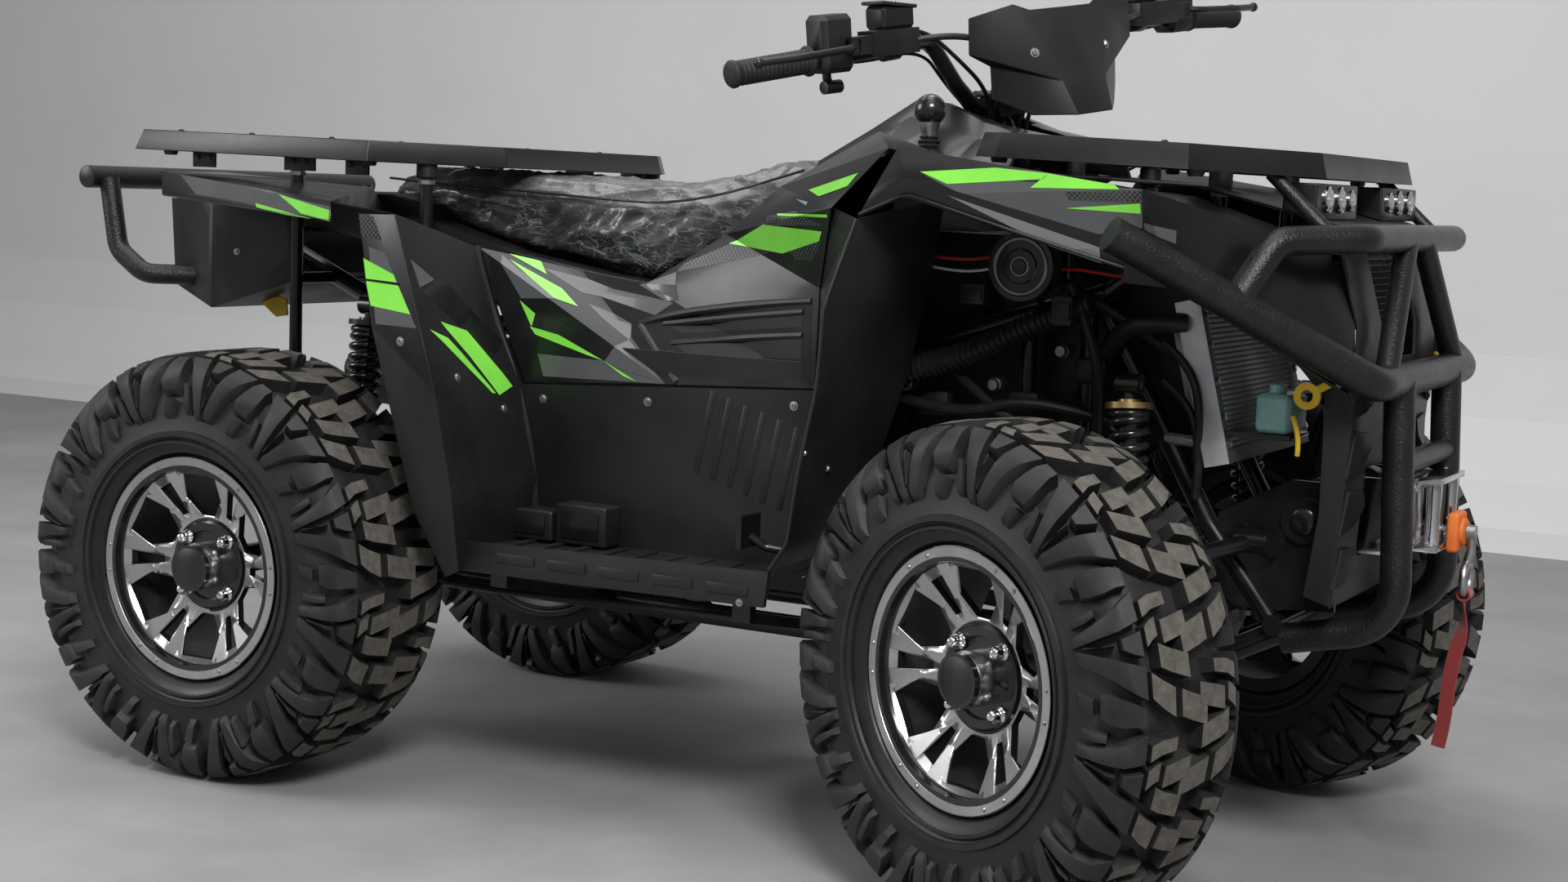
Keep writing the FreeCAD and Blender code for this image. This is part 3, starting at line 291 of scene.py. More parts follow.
def halftone(name, ground, dot, pitch, share):
    """Round dots in staggered rows, seen square on to the machine's side."""
    material, tree, shader, where = new_finish(name)
    parts = put(tree, "ShaderNodeSeparateXYZ", {"Vector": where}).outputs
    along = put(tree, "ShaderNodeCombineXYZ", {"X": parts["X"], "Y": parts["Z"]}).outputs[0]
    turned = put(tree, "ShaderNodeVectorRotate", {"Vector": along, "Angle": math.radians(45)},
                 rotation_type="Z_AXIS").outputs[0]
    scaled = put(tree, "ShaderNodeVectorMath", {0: turned, "Scale": 1 / pitch}, operation="SCALE").outputs[0]
    cell = put(tree, "ShaderNodeVectorMath", {0: scaled}, operation="FRACTION").outputs[0]
    size = ranged(tree, noise_of(tree, where, 9, 2), 0.35, 0.65, share * 0.75, share * 1.2)
    inside = maths(tree, "LESS_THAN", from_middle(tree, cell), size)
    feed(tree, shader, {"Base Color": mixed(tree, inside, ground, dot), "Roughness": 0.3,
                        "Normal": relief(tree, noise_of(tree, where, 500), 0.00004)})
    return material


def wrapped_vinyl(name, film):
    """Black grained vinyl under a loose clear wrap whose creases bump the coat; its colour holds a painted
    sheen, paler on upward faces, and painted highlights along the creases.
    """
    material, tree, shader, where = new_finish(name)
    grain = put(tree, "ShaderNodeTexVoronoi", {"Vector": where, "Scale": 620, "Randomness": 1.0},
                feature="SMOOTH_F1").outputs["Distance"]
    creases = None
    for scale, angle, width in CREASES:
        turn = (0, math.radians(angle), 0)
        stretched = put(tree, "ShaderNodeMapping", {"Vector": where, "Scale": (0.7, 1.1, 1.9),
                                                    "Rotation": turn}).outputs[0]
        cloud = noise_of(tree, stretched, scale, 3, 0.5, 0.8)
        size = maths(tree, "ABSOLUTE", maths(tree, "SUBTRACT", cloud, 0.5))
        line = ranged(tree, size, 0, width, 1, 0)
        creases = line if creases is None else maths(tree, "MAXIMUM", creases, line)
    patch = noise_of(tree, where, 9, 4, 0.6, 0.4)
    creases = maths(tree, "MULTIPLY", creases, ranged(tree, patch, 0.4, 0.62, 0, 1))
    # Painted sheen: paler on upward faces in patches, with painted highlights along the creases
    painted_top_sheen = maths(tree, "MULTIPLY", ranged(tree, facing_up(tree), 0.1, 0.85, 0.004, 0.2 * film),
                 ranged(tree, patch, 0.34, 0.66, 0.25, 1))
    painted_crease_highlight = maths(tree, "MULTIPLY", creases, 0.22 * film)
    painted_sheen = maths(tree, "ADD", painted_top_sheen, painted_crease_highlight, use_clamp=True)
    feed(tree, shader, {"Base Color": mixed(tree, painted_sheen, VINYL_BLACK, FILM_SHEEN_WHITE),
                        "Roughness": ranged(tree, patch, 0.3, 0.7, 0.3, 0.46),
                        "Normal": relief(tree, grain, 0.0002, 0.7),
                        "Coat Normal": relief(tree, creases, 0.004 * film, 1.0),
                        "Coat Weight": 0.7 * film, "Coat Roughness": 0.12})
    return material


def webbing(name, colour):
    """Plain woven strap: rows of small ribs across and along, with painted shade in the grooves between them.
    """
    material, tree, shader, where = new_finish(name)
    weave = maths(tree, "MULTIPLY", bands(tree, where, "Z", 260, 0.4), bands(tree, where, "Y", 190, 0.3))
    # The colour darkens where the weave is low: painted shade in the grooves
    feed(tree, shader, {"Base Color": mixed(tree, weave, shade(colour, 0.45), colour),
                        "Normal": relief(tree, weave, 0.0004), "Roughness": 0.8, "Sheen Weight": 0.3})
    return material


def clear_lens(name, tint):
    """Fluted clear or tinted plastic."""
    material, tree, shader, where = new_finish(name)
    light = tuple(min(1, part) for part in shade(tint, 1.15))
    feed(tree, shader, {"Normal": relief(tree, bands(tree, where, "Y", 90, 0.1), 0.0004, 0.6),
                        "Base Color": mixed(tree, noise_of(tree, where, 30), tint, light),
                        "Roughness": 0.06, "Transmission Weight": 0.75, "IOR": 1.45})
    return material


# Rows of (finish, darkest and lightest colour, roughness, patches, grain, other settings) for surface()
SURFACES = (
    ("tyre_rubber", (0.010, 0.010, 0.0105), (0.019, 0.0185, 0.018), (0.5, 0.68), 26,
     (420, 0.00018), {"dust": 0.05}),
    ("sidewall", (0.009, 0.009, 0.0095), (0.014, 0.014, 0.014), (0.38, 0.5), 20, (900, 0.00006)),
    ("rim_black", (0.006, 0.006, 0.007), (0.012, 0.012, 0.012),
     (0.16, 0.3), 12, (300, 0.00003), {"coat": 0.4}),
    ("rim_back", (0.10, 0.10, 0.105), (0.2, 0.2, 0.205), (0.4, 0.55), 16, (400, 0.0001), {"metal": 0.7}),
    ("frame_black", (0.005, 0.005, 0.0055), (0.009, 0.009, 0.0095), (0.2, 0.32), 20,
     (900, 0.00005), {"coat": 0.25}),
    ("bumper_black", (0.007, 0.007, 0.0075), (0.013, 0.013, 0.0135), (0.24, 0.36), 18, (330, 0.0011)),
    ("rack_black", (0.006, 0.006, 0.0065), (0.010, 0.010, 0.0105), (0.34, 0.46), 8,
     (480, 0.00012), {"coat": 0.04}),
    ("axle_steel", (0.16, 0.16, 0.165), (0.3, 0.3, 0.305), (0.3, 0.5), 30, (500, 0.0001), {"metal": 0.9}),
    ("spring_black", (0.008, 0.008, 0.009), (0.014, 0.014, 0.014), (0.2, 0.3), 30,
     (300, 0.00005), {"coat": 0.3}),
    ("damper_steel", (0.42, 0.42, 0.43), (0.6, 0.6, 0.61), (0.18, 0.3), 30, (300, 0.00003), {"metal": 1.0}),
    ("brass", (0.42, 0.3, 0.13), (0.58, 0.42, 0.2), (0.28, 0.45), 40, (400, 0.00006), {"metal": 1.0}),
    ("engine_alloy", (0.014, 0.014, 0.015), (0.03, 0.03, 0.031), (0.34, 0.5), 14,
     (520, 0.0003), {"metal": 0.3}),
    ("exhaust_black", (0.010, 0.009, 0.009), (0.024, 0.021, 0.019), (0.5, 0.7), 10, (420, 0.0002)),
    ("case_alloy", (0.2, 0.2, 0.205), (0.34, 0.34, 0.345), (0.42, 0.6), 16, (420, 0.0003), {"metal": 0.8}),
    ("radiator_silver", (0.46, 0.47, 0.48), (0.62, 0.625, 0.63), (0.3, 0.42), 22,
     (500, 0.00008), {"metal": 0.45}),
    ("fin_silver", (0.42, 0.43, 0.44), (0.62, 0.63, 0.64), (0.34, 0.5), 120, (900, 0.00004), {"metal": 0.3}),
    # core_dark is painted shade: of the radiator's deep core and of the screws' recesses
    ("core_dark", (0.05, 0.05, 0.052), (0.12, 0.12, 0.125), (0.5, 0.7), 200, (900, 0.0002)),
    ("panel_black", (0.0055, 0.0055, 0.006), (0.009, 0.009, 0.0095), (0.24, 0.36), 6,
     (520, 0.00005), {"coat": 0.1}),
    ("panel_matt", (0.0075, 0.0075, 0.008), (0.0125, 0.0125, 0.013), (0.36, 0.5), 9,
     (1100, 0.0001), {"dust": 0.025}),
    ("decal_black", (0.006, 0.006, 0.006), (0.01, 0.01, 0.01), (0.2, 0.3), 10, (500, 0.00003), {"coat": 0.3}),
    ("grip_rubber", (0.012, 0.012, 0.013), (0.02, 0.02, 0.021), (0.55, 0.72), 30, (800, 0.00018)),
    ("hose_rubber", (0.01, 0.01, 0.011), (0.017, 0.017, 0.018), (0.4, 0.55), 40, (700, 0.0001)),
    ("bar_black", (0.01, 0.01, 0.011), (0.016, 0.016, 0.017), (0.28, 0.4), 30, (700, 0.00012)),
    ("control_plastic", (0.012, 0.012, 0.013), (0.02, 0.02, 0.021), (0.32, 0.46), 20, (900, 0.00016)),
    ("winch_black", (0.012, 0.012, 0.013), (0.022, 0.022, 0.023), (0.34, 0.5), 24, (600, 0.0002)),
    ("fairlead_steel", (0.5, 0.5, 0.51), (0.72, 0.72, 0.73), (0.1, 0.22), 20, (300, 0.00003), {"metal": 1.0}),
    ("chrome", (0.62, 0.62, 0.63), (0.8, 0.8, 0.81), (0.07, 0.14), 20, (300, 0.00002), {"metal": 1.0}),
    ("zinc", (0.36, 0.36, 0.37), (0.52, 0.52, 0.53), (0.28, 0.42), 60, (500, 0.00006), {"metal": 1.0}),
    ("stopper_orange", (0.62, 0.13, 0.02), (0.75, 0.19, 0.03), (0.45, 0.6), 30, (600, 0.0001)),
    ("eye_yellow", (0.62, 0.40, 0.02), (0.78, 0.52, 0.03), (0.32, 0.45), 30, (500, 0.00008)),
    ("bottle_aqua", (0.22, 0.44, 0.42), (0.34, 0.58, 0.55), (0.28, 0.4), 25, (500, 0.00008)),
    ("wire_rope", (0.22, 0.22, 0.225), (0.42, 0.42, 0.43), (0.3, 0.45), 300, (900, 0.0001), {"metal": 0.9}),
    ("wire_red", (0.42, 0.02, 0.015), (0.55, 0.03, 0.02), (0.35, 0.5), 40, (600, 0.00005)),
    ("wire_white", (0.6, 0.6, 0.58), (0.75, 0.75, 0.72), (0.35, 0.5), 40, (600, 0.00005)),
)


def make_finishes(colours):
    """Every finish: the table's, and those that follow from the stripe, plastic and dust colours."""
    green, grey, pale, moulded, dust = (tuple(colour) for colour in (
        colours.decal_green, colours.decal_grey, colours.pale_grey, colours.moulded_grey, colours.tread_dust))
    for name, dark, light, rough, patches, grain, *other in SURFACES:
        surface(name, dark, light, rough, patches, grain, **(other[0] if other else {}))
    for name, light, share, rough, patches, grain, coat in (
            ("tread_top", dust, 0.55, (0.78, 0.92), 70, (900, 0.0003), 0),
            ("panel_grey", moulded, 0.85, (0.38, 0.5), 9, (900, 0.00005), 0),
            ("decal_green", green, 0.86, (0.24, 0.34), 10, (500, 0.00003), 0.3),
            ("decal_grey", grey, 0.88, (0.24, 0.34), 10, (500, 0.00003), 0.3),
            ("decal_pale", pale, 0.9, (0.26, 0.36), 10, (500, 0.00003), 0.3)):
        surface(name, shade(light, share), light, rough, patches, grain, coat=coat)
    lathe_metal("machined_face", (0.62, 0.62, 0.625), (0.24, 0.34), 0.00006)
    halftone("halftone_side", (0.012, 0.012, 0.013), grey, 0.0052, 0.33)
    halftone("halftone_dark", shade(grey, 0.8), (0.01, 0.01, 0.01), 0.0046, 0.36)
    wrapped_vinyl("seat_vinyl", 1.0)
    wrapped_vinyl("piping_vinyl", 0.25)
    webbing("strap_red", (0.52, 0.02, 0.02))
    clear_lens("lens_clear", (0.86, 0.88, 0.9))
    clear_lens("lens_red", (0.6, 0.01, 0.01))


def finish(name):
    return bpy.data.materials[name]


# Mesh making
def mesh_of(bm, name):
    """The mesh of a bmesh, which is then freed."""
    mesh = bpy.data.meshes.new(name)
    bm.to_mesh(mesh)
    bm.free()
    return mesh


def linked(name, data):
    """A new object in the scene."""
    made = bpy.data.objects.new(name, data)
    bpy.context.scene.collection.objects.link(made)
    return made


def plain_mesh(maker_object):
    """The evaluated mesh of a temporary object, which is then removed."""
    bpy.context.view_layer.update()
    mesh = bpy.data.meshes.new_from_object(maker_object.evaluated_get(bpy.context.evaluated_depsgraph_get()))
    bpy.data.objects.remove(maker_object)
    return mesh


def swept(points, radius, sides=2, order=3, cyclic=False, detail=6):
    """A round run along a smooth curve through control points, with closed ends."""
    curve = bpy.data.curves.new("run", "CURVE")
    curve.dimensions = "3D"
    curve.resolution_u = detail
    curve.bevel_depth = radius
    curve.bevel_resolution = sides
    curve.use_fill_caps = not cyclic
    spline = curve.splines.new("NURBS")
    spline.points.add(len(points) - 1)
    for control, place in zip(spline.points, points):
        control.co = (*place, 1)
    spline.use_cyclic_u = cyclic
    spline.order_u = order
    spline.use_endpoint_u = not cyclic
    return plain_mesh(linked("run", curve))


class Build:
    """Gathers shapes into one mesh, each with its own finish."""

    def __init__(self):
        self.bm = bmesh.new()
        self.finishes = []

    def index(self, name):
        if name not in self.finishes:
            self.finishes.append(name)
        return self.finishes.index(name)

    def take(self, mesh, name=None):
        """Adds a mesh, with one finish or with its own."""
        own = [material.name if material else name for material in mesh.materials]
        start = len(self.bm.faces)
        self.bm.from_mesh(mesh)
        self.bm.faces.ensure_lookup_table()
        for face in self.bm.faces[start:]:
            face.material_index = self.index(name or own[face.material_index])
        bpy.data.meshes.remove(mesh)
        return self

    def faces(self, places, corners, name):
        """Faces over places, given by their corners, all turned outward."""
        verts = [self.bm.verts.new(place) for place in places]
        made = []
        for corner in corners:
            face = self.bm.faces.new([verts[n] for n in corner])
            face.material_index = self.index(name)
            made.append(face)
        bmesh.ops.recalc_face_normals(self.bm, faces=made)
        return self

    def turned(self, centre, axis, rows, name, steps=32):
        """A form turned about an axis, from rows of (along, radius) in mm; a radius of 0 closes it."""
        first, second = frame_of(axis)
        axis = axis.normalized()
        places, rings = [], []
        for along, radius in rows:
            middle = centre + axis * (along / 1000)
            if radius <= 0:
                rings.append([len(places)])
                places.append(middle)
                continue
            rings.append(range(len(places), len(places) + steps))
            for step in range(steps):
                angle = FULL_TURN * step / steps
                places.append(middle + (first * math.cos(angle) + second * math.sin(angle)) * (radius / 1000))
        corners = []
        for low, high in zip(rings, rings[1:]):
            for step in range(steps):
                after = (step + 1) % steps
                quad = [ring[n % len(ring)]
                        for ring, n in ((low, step), (low, after), (high, after), (high, step))]
                corners.append(list(dict.fromkeys(quad)))
        return self.faces(places, corners, name)

    def run(self, points, radius, name, **settings):
        return self.take(swept(points, radius / 1000, **settings), name)

    def block(self, centre, size, name, ease=1.0, turn=None, segments=2):
        """A box of size in mm about a centre, with eased edges."""
        small = bmesh.new()
        bmesh.ops.create_cube(small, size=1)
        bmesh.ops.scale(small, vec=Vector(size) / 1000, verts=small.verts)
        if ease:
            bmesh.ops.bevel(small, geom=small.edges[:], offset=ease / 1000, segments=segments, affect="EDGES",
                            profile=0.5, clamp_overlap=True)
        if turn is not None:
            bmesh.ops.transform(small, matrix=turn.to_4x4(), verts=small.verts)
        bmesh.ops.translate(small, vec=centre, verts=small.verts)
        return self.take(mesh_of(small, "block"), name)

    def plate(self, outline, thickness, name, ease=0.6):
        """A flat closed plate from places in order, with its thickness (a vector in metres) behind it."""
        count = len(outline)
        small = bmesh.new()
        front = [small.verts.new(place) for place in outline]
        back = [small.verts.new(place + thickness) for place in outline]
        small.faces.new(front)
        small.faces.new(back[::-1])
        for n in range(count):
            small.faces.new([front[(n + 1) % count], front[n], back[n], back[(n + 1) % count]])
        bmesh.ops.recalc_face_normals(small, faces=small.faces[:])
        if ease:
            bmesh.ops.bevel(small, geom=small.edges[:], offset=ease / 1000, segments=1, affect="EDGES",
                            clamp_overlap=True)
        return self.take(mesh_of(small, "plate"), name)

    def done(self, name, slot, replaced=(), sharp=32, body="chassis"):
        """Ends the piece: smooth up to an angle of sharp degrees, on its body, in place of nodes. slot is not
        used.
        """
        mesh = mesh_of(self.bm, name)
        for polygon in mesh.polygons:
            polygon.use_smooth = True
        mesh.set_sharp_from_angle(angle=math.radians(sharp))
        for finish_name in self.finishes:
            mesh.materials.append(finish(finish_name))
        piece = linked(name, mesh)
        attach(piece, body)
        if replaced:
            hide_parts(*replaced)
        return piece


# Repeats
def new_tree(name, sockets):
    """A Geometry Nodes tree whose inputs are a mesh and the named sockets."""
    tree = bpy.data.node_groups.new(name, "GeometryNodeTree")
    tree.interface.new_socket("Mesh", in_out="INPUT", socket_type="NodeSocketGeometry")
    for label, kind, default in sockets:
        socket = tree.interface.new_socket(label, in_out="INPUT", socket_type="NodeSocket" + kind)
        if default is not None:
            socket.default_value = default
    tree.interface.new_socket("Mesh", in_out="OUTPUT", socket_type="NodeSocketGeometry")
    return tree, put(tree, "NodeGroupInput").outputs


def close_tree(tree, copies, *finishes):
    """Ends a tree in Realize Instances and one Set Material per (finish, selection)."""
    result = put(tree, "GeometryNodeRealizeInstances", {0: copies}).outputs[0]
    for material, selection in finishes:
        inputs = {"Geometry": result, "Material": material}
        if selection is not None:
            inputs["Selection"] = selection
        result = put(tree, "GeometryNodeSetMaterial", inputs).outputs[0]
    put(tree, "NodeGroupOutput", {0: result})
    return tree


def named_attribute(tree, name, kind):
    return put(tree, "GeometryNodeInputNamedAttribute", {"Name": name}, data_type=kind).outputs["Attribute"]


def gathered(tree, *meshes):
    """Joins meshes into one."""
    join = put(tree, "GeometryNodeJoinGeometry")
    for mesh in meshes:
        tree.links.new(mesh, join.inputs[0])
    return join.outputs[0]


def ring_tree():
    """Copies of the mesh about the y axis through the origin."""
    tree, given = new_tree("ring_of_copies", [("Count", "Int", 12), ("Finish", "Material", None),
                                              ("Top finish", "Material", None)])
    line = put(tree, "GeometryNodeMeshLine", {"Count": given["Count"], "Offset": (0, 0, 0)}).outputs[0]
    index = put(tree, "GeometryNodeInputIndex").outputs[0]
    angle = maths(tree, "MULTIPLY", index, maths(tree, "DIVIDE", FULL_TURN, given["Count"]))
    euler = put(tree, "ShaderNodeCombineXYZ", {"Y": angle}).outputs[0]
    turn = put(tree, "FunctionNodeEulerToRotation", {0: euler}).outputs[0]
    copies = put(tree, "GeometryNodeInstanceOnPoints", {"Points": line, "Instance": given["Mesh"],
                                                        "Rotation": turn}).outputs[0]
    return close_tree(tree, copies, (given["Finish"], None),
                      (given["Top finish"], named_attribute(tree, "top", "BOOLEAN")))


def row_tree():
    """Copies of the mesh in a straight row."""
    tree, given = new_tree("row_of_copies", [("Count", "Int", 10), ("Step", "Vector", (0.01, 0, 0)),
                                             ("Finish", "Material", None)])
    line = put(tree, "GeometryNodeMeshLine", {"Count": given["Count"], "Offset": given["Step"]}).outputs[0]
    copies = put(tree, "GeometryNodeInstanceOnPoints", {"Points": line, "Instance": given["Mesh"]}).outputs[0]
    return close_tree(tree, copies, (given["Finish"], None))


def head_tree():
    """Screw heads on points, each turned to its own facing and scaled by its own size."""
    tree, given = new_tree("screw_heads", [("Sides", "Int", 20), ("Height", "Float", 0.4),
                                           ("Finish", "Material", None), ("Recess", "Material", None)])
    dome = put(tree, "GeometryNodeMeshCone", {"Vertices": given["Sides"], "Radius Top": 0.72,
                                              "Radius Bottom": 1.0, "Depth": given["Height"]}).outputs["Mesh"]
    washer = put(tree, "GeometryNodeMeshCylinder", {"Vertices": 20, "Radius": 1.3,
                                                    "Depth": 0.16}).outputs["Mesh"]
    body = gathered(tree, dome, washer)
    # The cross is a thin slab on the head; its recess finish, core_dark by default, is painted shade standing
    # for the recess
    bars = gathered(tree, *(put(tree, "GeometryNodeMeshCube", {"Size": size}).outputs["Mesh"]
                            for size in ((0.95, 0.24, 0.1), (0.24, 0.95, 0.1))))
    lift = put(tree, "ShaderNodeCombineXYZ", {"Z": given["Height"]}).outputs[0]
    cross = put(tree, "GeometryNodeTransform", {"Geometry": bars, "Translation": lift}).outputs[0]
    marked = put(tree, "GeometryNodeStoreNamedAttribute", {"Geometry": cross, "Name": "recess", "Value": True},
                 data_type="BOOLEAN", domain="FACE").outputs[0]
    facing = named_attribute(tree, "facing", "FLOAT_VECTOR")
    turn = put(tree, "FunctionNodeAlignRotationToVector", {"Vector": facing}, axis="Z").outputs[0]
    copies = put(tree, "GeometryNodeInstanceOnPoints",
                 {"Points": given["Mesh"], "Instance": gathered(tree, body, marked), "Rotation": turn,
                  "Scale": named_attribute(tree, "size", "FLOAT")}).outputs[0]
    return close_tree(tree, copies, (given["Finish"], None),
                      (given["Recess"], named_attribute(tree, "recess", "BOOLEAN")))


def grown(tree, mesh, **values):
    """Runs a tree on a mesh and gives the plain mesh that it makes."""
    seed = linked("seed", mesh)
    modifier = seed.modifiers.new("grow", "NODES")
    modifier.node_group = tree
    for item in tree.interface.items_tree:
        label = item.name.replace(" ", "_").lower()
        if item.in_out == "INPUT" and label in values:
            modifier[item.identifier] = values[label]
    return plain_mesh(seed)


def screw_heads(rows, height=0.4, sides=20, material="zinc", recess="core_dark"):
    """Heads from rows of (place, facing, radius in mm); by default the cross takes core_dark, painted shade of
    the screw's recess.
    """
    mesh = bpy.data.meshes.new("points")
    mesh.from_pydata([tuple(place) for place, _, _ in rows], [], [])
    mesh.attributes.new("facing", "FLOAT_VECTOR", "POINT")
    mesh.attributes.new("size", "FLOAT", "POINT")
    mesh.attributes["facing"].data.foreach_set("vector", [part for _, way, _ in rows for part in way])
    mesh.attributes["size"].data.foreach_set("value", [radius / 1000 for _, _, radius in rows])
    return grown(bpy.data.node_groups["screw_heads"], mesh, sides=sides, height=height,
                 finish=finish(material), recess=finish(recess))


# Copies of CAD nodes
WELD = 1e-5


def copied(node, flat_angle=0.6):
    """A merged copy of a CAD node, as a bmesh whose faces within flat_angle degrees are joined."""
    bm = bmesh.new()
    bm.from_mesh(NODES[node].data)
    bmesh.ops.remove_doubles(bm, verts=bm.verts[:], dist=WELD)
    bmesh.ops.recalc_face_normals(bm, faces=bm.faces[:])
    if flat_angle:
        bmesh.ops.dissolve_limit(bm, angle_limit=math.radians(flat_angle), use_dissolve_boundaries=False,
                                 verts=bm.verts[:], edges=bm.edges[:])
    return bm


def eased_mesh(node, ease):
    """A copy of a node whose edges are rounded by ease in mm."""
    mesh = mesh_of(copied(node), "eased")
    for polygon in mesh.polygons:
        polygon.use_smooth = True
    holder = linked("eased", mesh)
    bevel = holder.modifiers.new("ease", "BEVEL")
    bevel.width = ease / 1000
    bevel.segments = 2
    bevel.limit_method = "ANGLE"
    bevel.angle_limit = math.radians(26)
    bevel.harden_normals = True
    bevel.use_clamp_overlap = True
    return plain_mesh(holder)


def dressed(node, regions, ease):
    """Stands an eased, finished copy for a node.

    regions is a finish, or rows of (test of a face's centre and normal, finish), of which the first hit wins.
    """
    if isinstance(regions, str):
        regions = [(None, regions)]
    mesh = eased_mesh(node, ease)
    mesh.materials.clear()
    names = list(dict.fromkeys(name for _, name in regions))
    for name in names:
        mesh.materials.append(finish(name))
    for polygon in mesh.polygons:
        centre = polygon.center * 1000 - Vector((CENTRE_SHIFT, 0, 0))
        for test, name in regions:
            if test is None or test(centre, polygon.normal):
                polygon.material_index = names.index(name)
                break
    piece = linked(node + "_form", mesh)
    mesh.name = piece.name
    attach(piece, NODES[node]["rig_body"])
    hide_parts(node)
    return piece


def coat_nodes(name, *nodes):
    """Gives CAD nodes that keep their own shape a finish."""
    for node in nodes:
        materials = NODES[node].data.materials
        materials.clear()
        materials.append(finish(name))


# Decals
def outline_triangles(outline):
    """Triangles of a flat outline, each turned the same way round."""
    flat = [Vector((a, b, 0)) for a, b in outline]
    for corners in tessellate_polygon([flat]):
        first, second, third = (flat[n].xy for n in corners)
        if (second - first).cross(third - first) < 0:
            second, third = third, second
        yield first, second, third


def decal_faces(node, outline, facing):
    """Cuts an outline out of a node's right side, seen square on, in triangles. facing is X or Y."""
    source = copied(node, flat_angle=0)
    way = AHEAD if facing == "X" else RIGHT
    drop = [face for face in source.faces
            if face.calc_center_median().y >= 0 or face.normal.dot(way) <= 0.12]
    bmesh.ops.delete(source, geom=drop, context="FACES")
    for triangle in outline_triangles(outline):
        part = source.copy()
        for start, end in zip(triangle, triangle[1:] + triangle[:1]):
            run = end - start
            if facing == "X":
                place, normal = Vector((0, start.x, start.y)) / 1000, Vector((0, run.y, -run.x))
            else:
                place, normal = spot(start.x, 0, start.y), Vector((run.y, 0, -run.x))
            bmesh.ops.bisect_plane(part, geom=part.verts[:] + part.edges[:] + part.faces[:], dist=1e-7,
                                   plane_co=place, plane_no=normal.normalized(), clear_outer=True)
        if part.faces:
            yield part
        else:
            part.free()
    source.free()


# Wheels, in mm: rows of (end, half width, the lip's distance from the tyre's middle)
WHEELS = (("front", 102, 82), ("rear", 125, 105))
TYRE_RADIUS = 317
SIDEWALL_RADIUS = 222
BEAD_INSET = 8.3
# Raised rings of the sidewall: rows of (radius, half width, height)
SIDEWALL_RINGS = ((199, 5, 2.4), (187, 3, 1.6))
# The tread's other half is staggered by half a pitch. A lug's foot reaches into the carcass.
HALF_PITCH = 83
LUG_DRAFT = 2.2
LUG_SINK = 3
LUG_LEDGE = 0.06
SHOULDER_ROW = 2
HUB_DEPTH = 44
FACE_SLOPE = 28 / 76
SPOKES = 6
RIVET_CIRCLE = 157.5
RIVET_SPREAD = math.radians(7)
NUTS = 4
NUT_CIRCLE = 55
# The machined half of a spoke's face: rows of (across, radius)
SPOKE_FACE = ((9.4, 100), (17, 97), (27, 112), (46, 138), (12.6, 145.5))


def on_ring(angle, radius, across):
    """A place in a wheel's own axes, from an angle and from a radius and a distance outwards in mm."""
    return Vector((radius * math.sin(angle), across, radius * math.cos(angle))) / 1000


def tread_profiles(half):
    """Rows of (across, radius) from the middle to the sidewall: the lugs' tops and the carcass."""
    top = [(0, TYRE_RADIUS), (half - 56, TYRE_RADIUS), (half - 32, 313), (half - 12, 300), (half - 1, 277),
           (half, 240), (half - 4, 205)]
    base = [(0, 297), (half - 58, 297), (half - 40, 294), (half - 25, 283), (half - 15, 266), (half - 9, 237),
            (half - 8, 204)]
    return top, base


def on_profile(rows, place):
    """The point at a fractional row; a negative place is on the other half."""
    size = min(abs(place), len(rows) - 1.001)
    n = int(size)
    (across, radius), (next_across, next_radius) = rows[n:n + 2]
    share = size - n
    across += (next_across - across) * share
    return math.copysign(across, place), radius + (next_radius - radius) * share


# Tread lugs of one pitch of 166 mm: rows of (place on the profile, start and end along the tread in mm)
LUGS = [
    [(-0.42, 0, 36), (0.2, 8, 44), (0.6, 14, 50)],
    [(0.7, 14, 52), (1.3, 25, 62), (1.98, 38, 72)],
    [(0.15, 56, 88), (0.9, 66, 98), (1.4, 72, 104)],
    [(0.05, 108, 138), (0.7, 101, 132), (1.05, 98, 129)],
    [(1.2, 108, 134), (1.6, 103, 130), (1.98, 96, 124)],
    [(0.6, 142, 162), (1.3, 138, 160), (1.95, 130, 154)],
    [(2.08, 36, 78), (2.6, 42, 82), (3.1, 50, 86), (3.7, 60, 92), (4.3, 70, 98), (5.0, 82, 108),
     (5.35, 88, 108)],
    [(2.08, 128, 166), (2.6, 124, 160), (3.1, 120, 152), (3.7, 118, 146), (4.3, 116, 140), (5.0, 113, 134),
     (5.35, 112, 130)],
    [(2.08, 86, 120), (2.6, 90, 117), (3.15, 97, 114)],
    [(2.15, 4, 30), (2.7, 5, 36), (3.3, 3, 40), (3.9, 4, 46), (4.4, 10, 44)],
    [(4.6, 14, 38), (5.1, 22, 44), (5.4, 26, 46)],
    [(4.0, 146, 160), (4.6, 142, 158), (5.2, 142, 156)],
    [(3.4, 104, 110), (4.0, 104, 109), (4.9, 110.2, 111.4)],
]


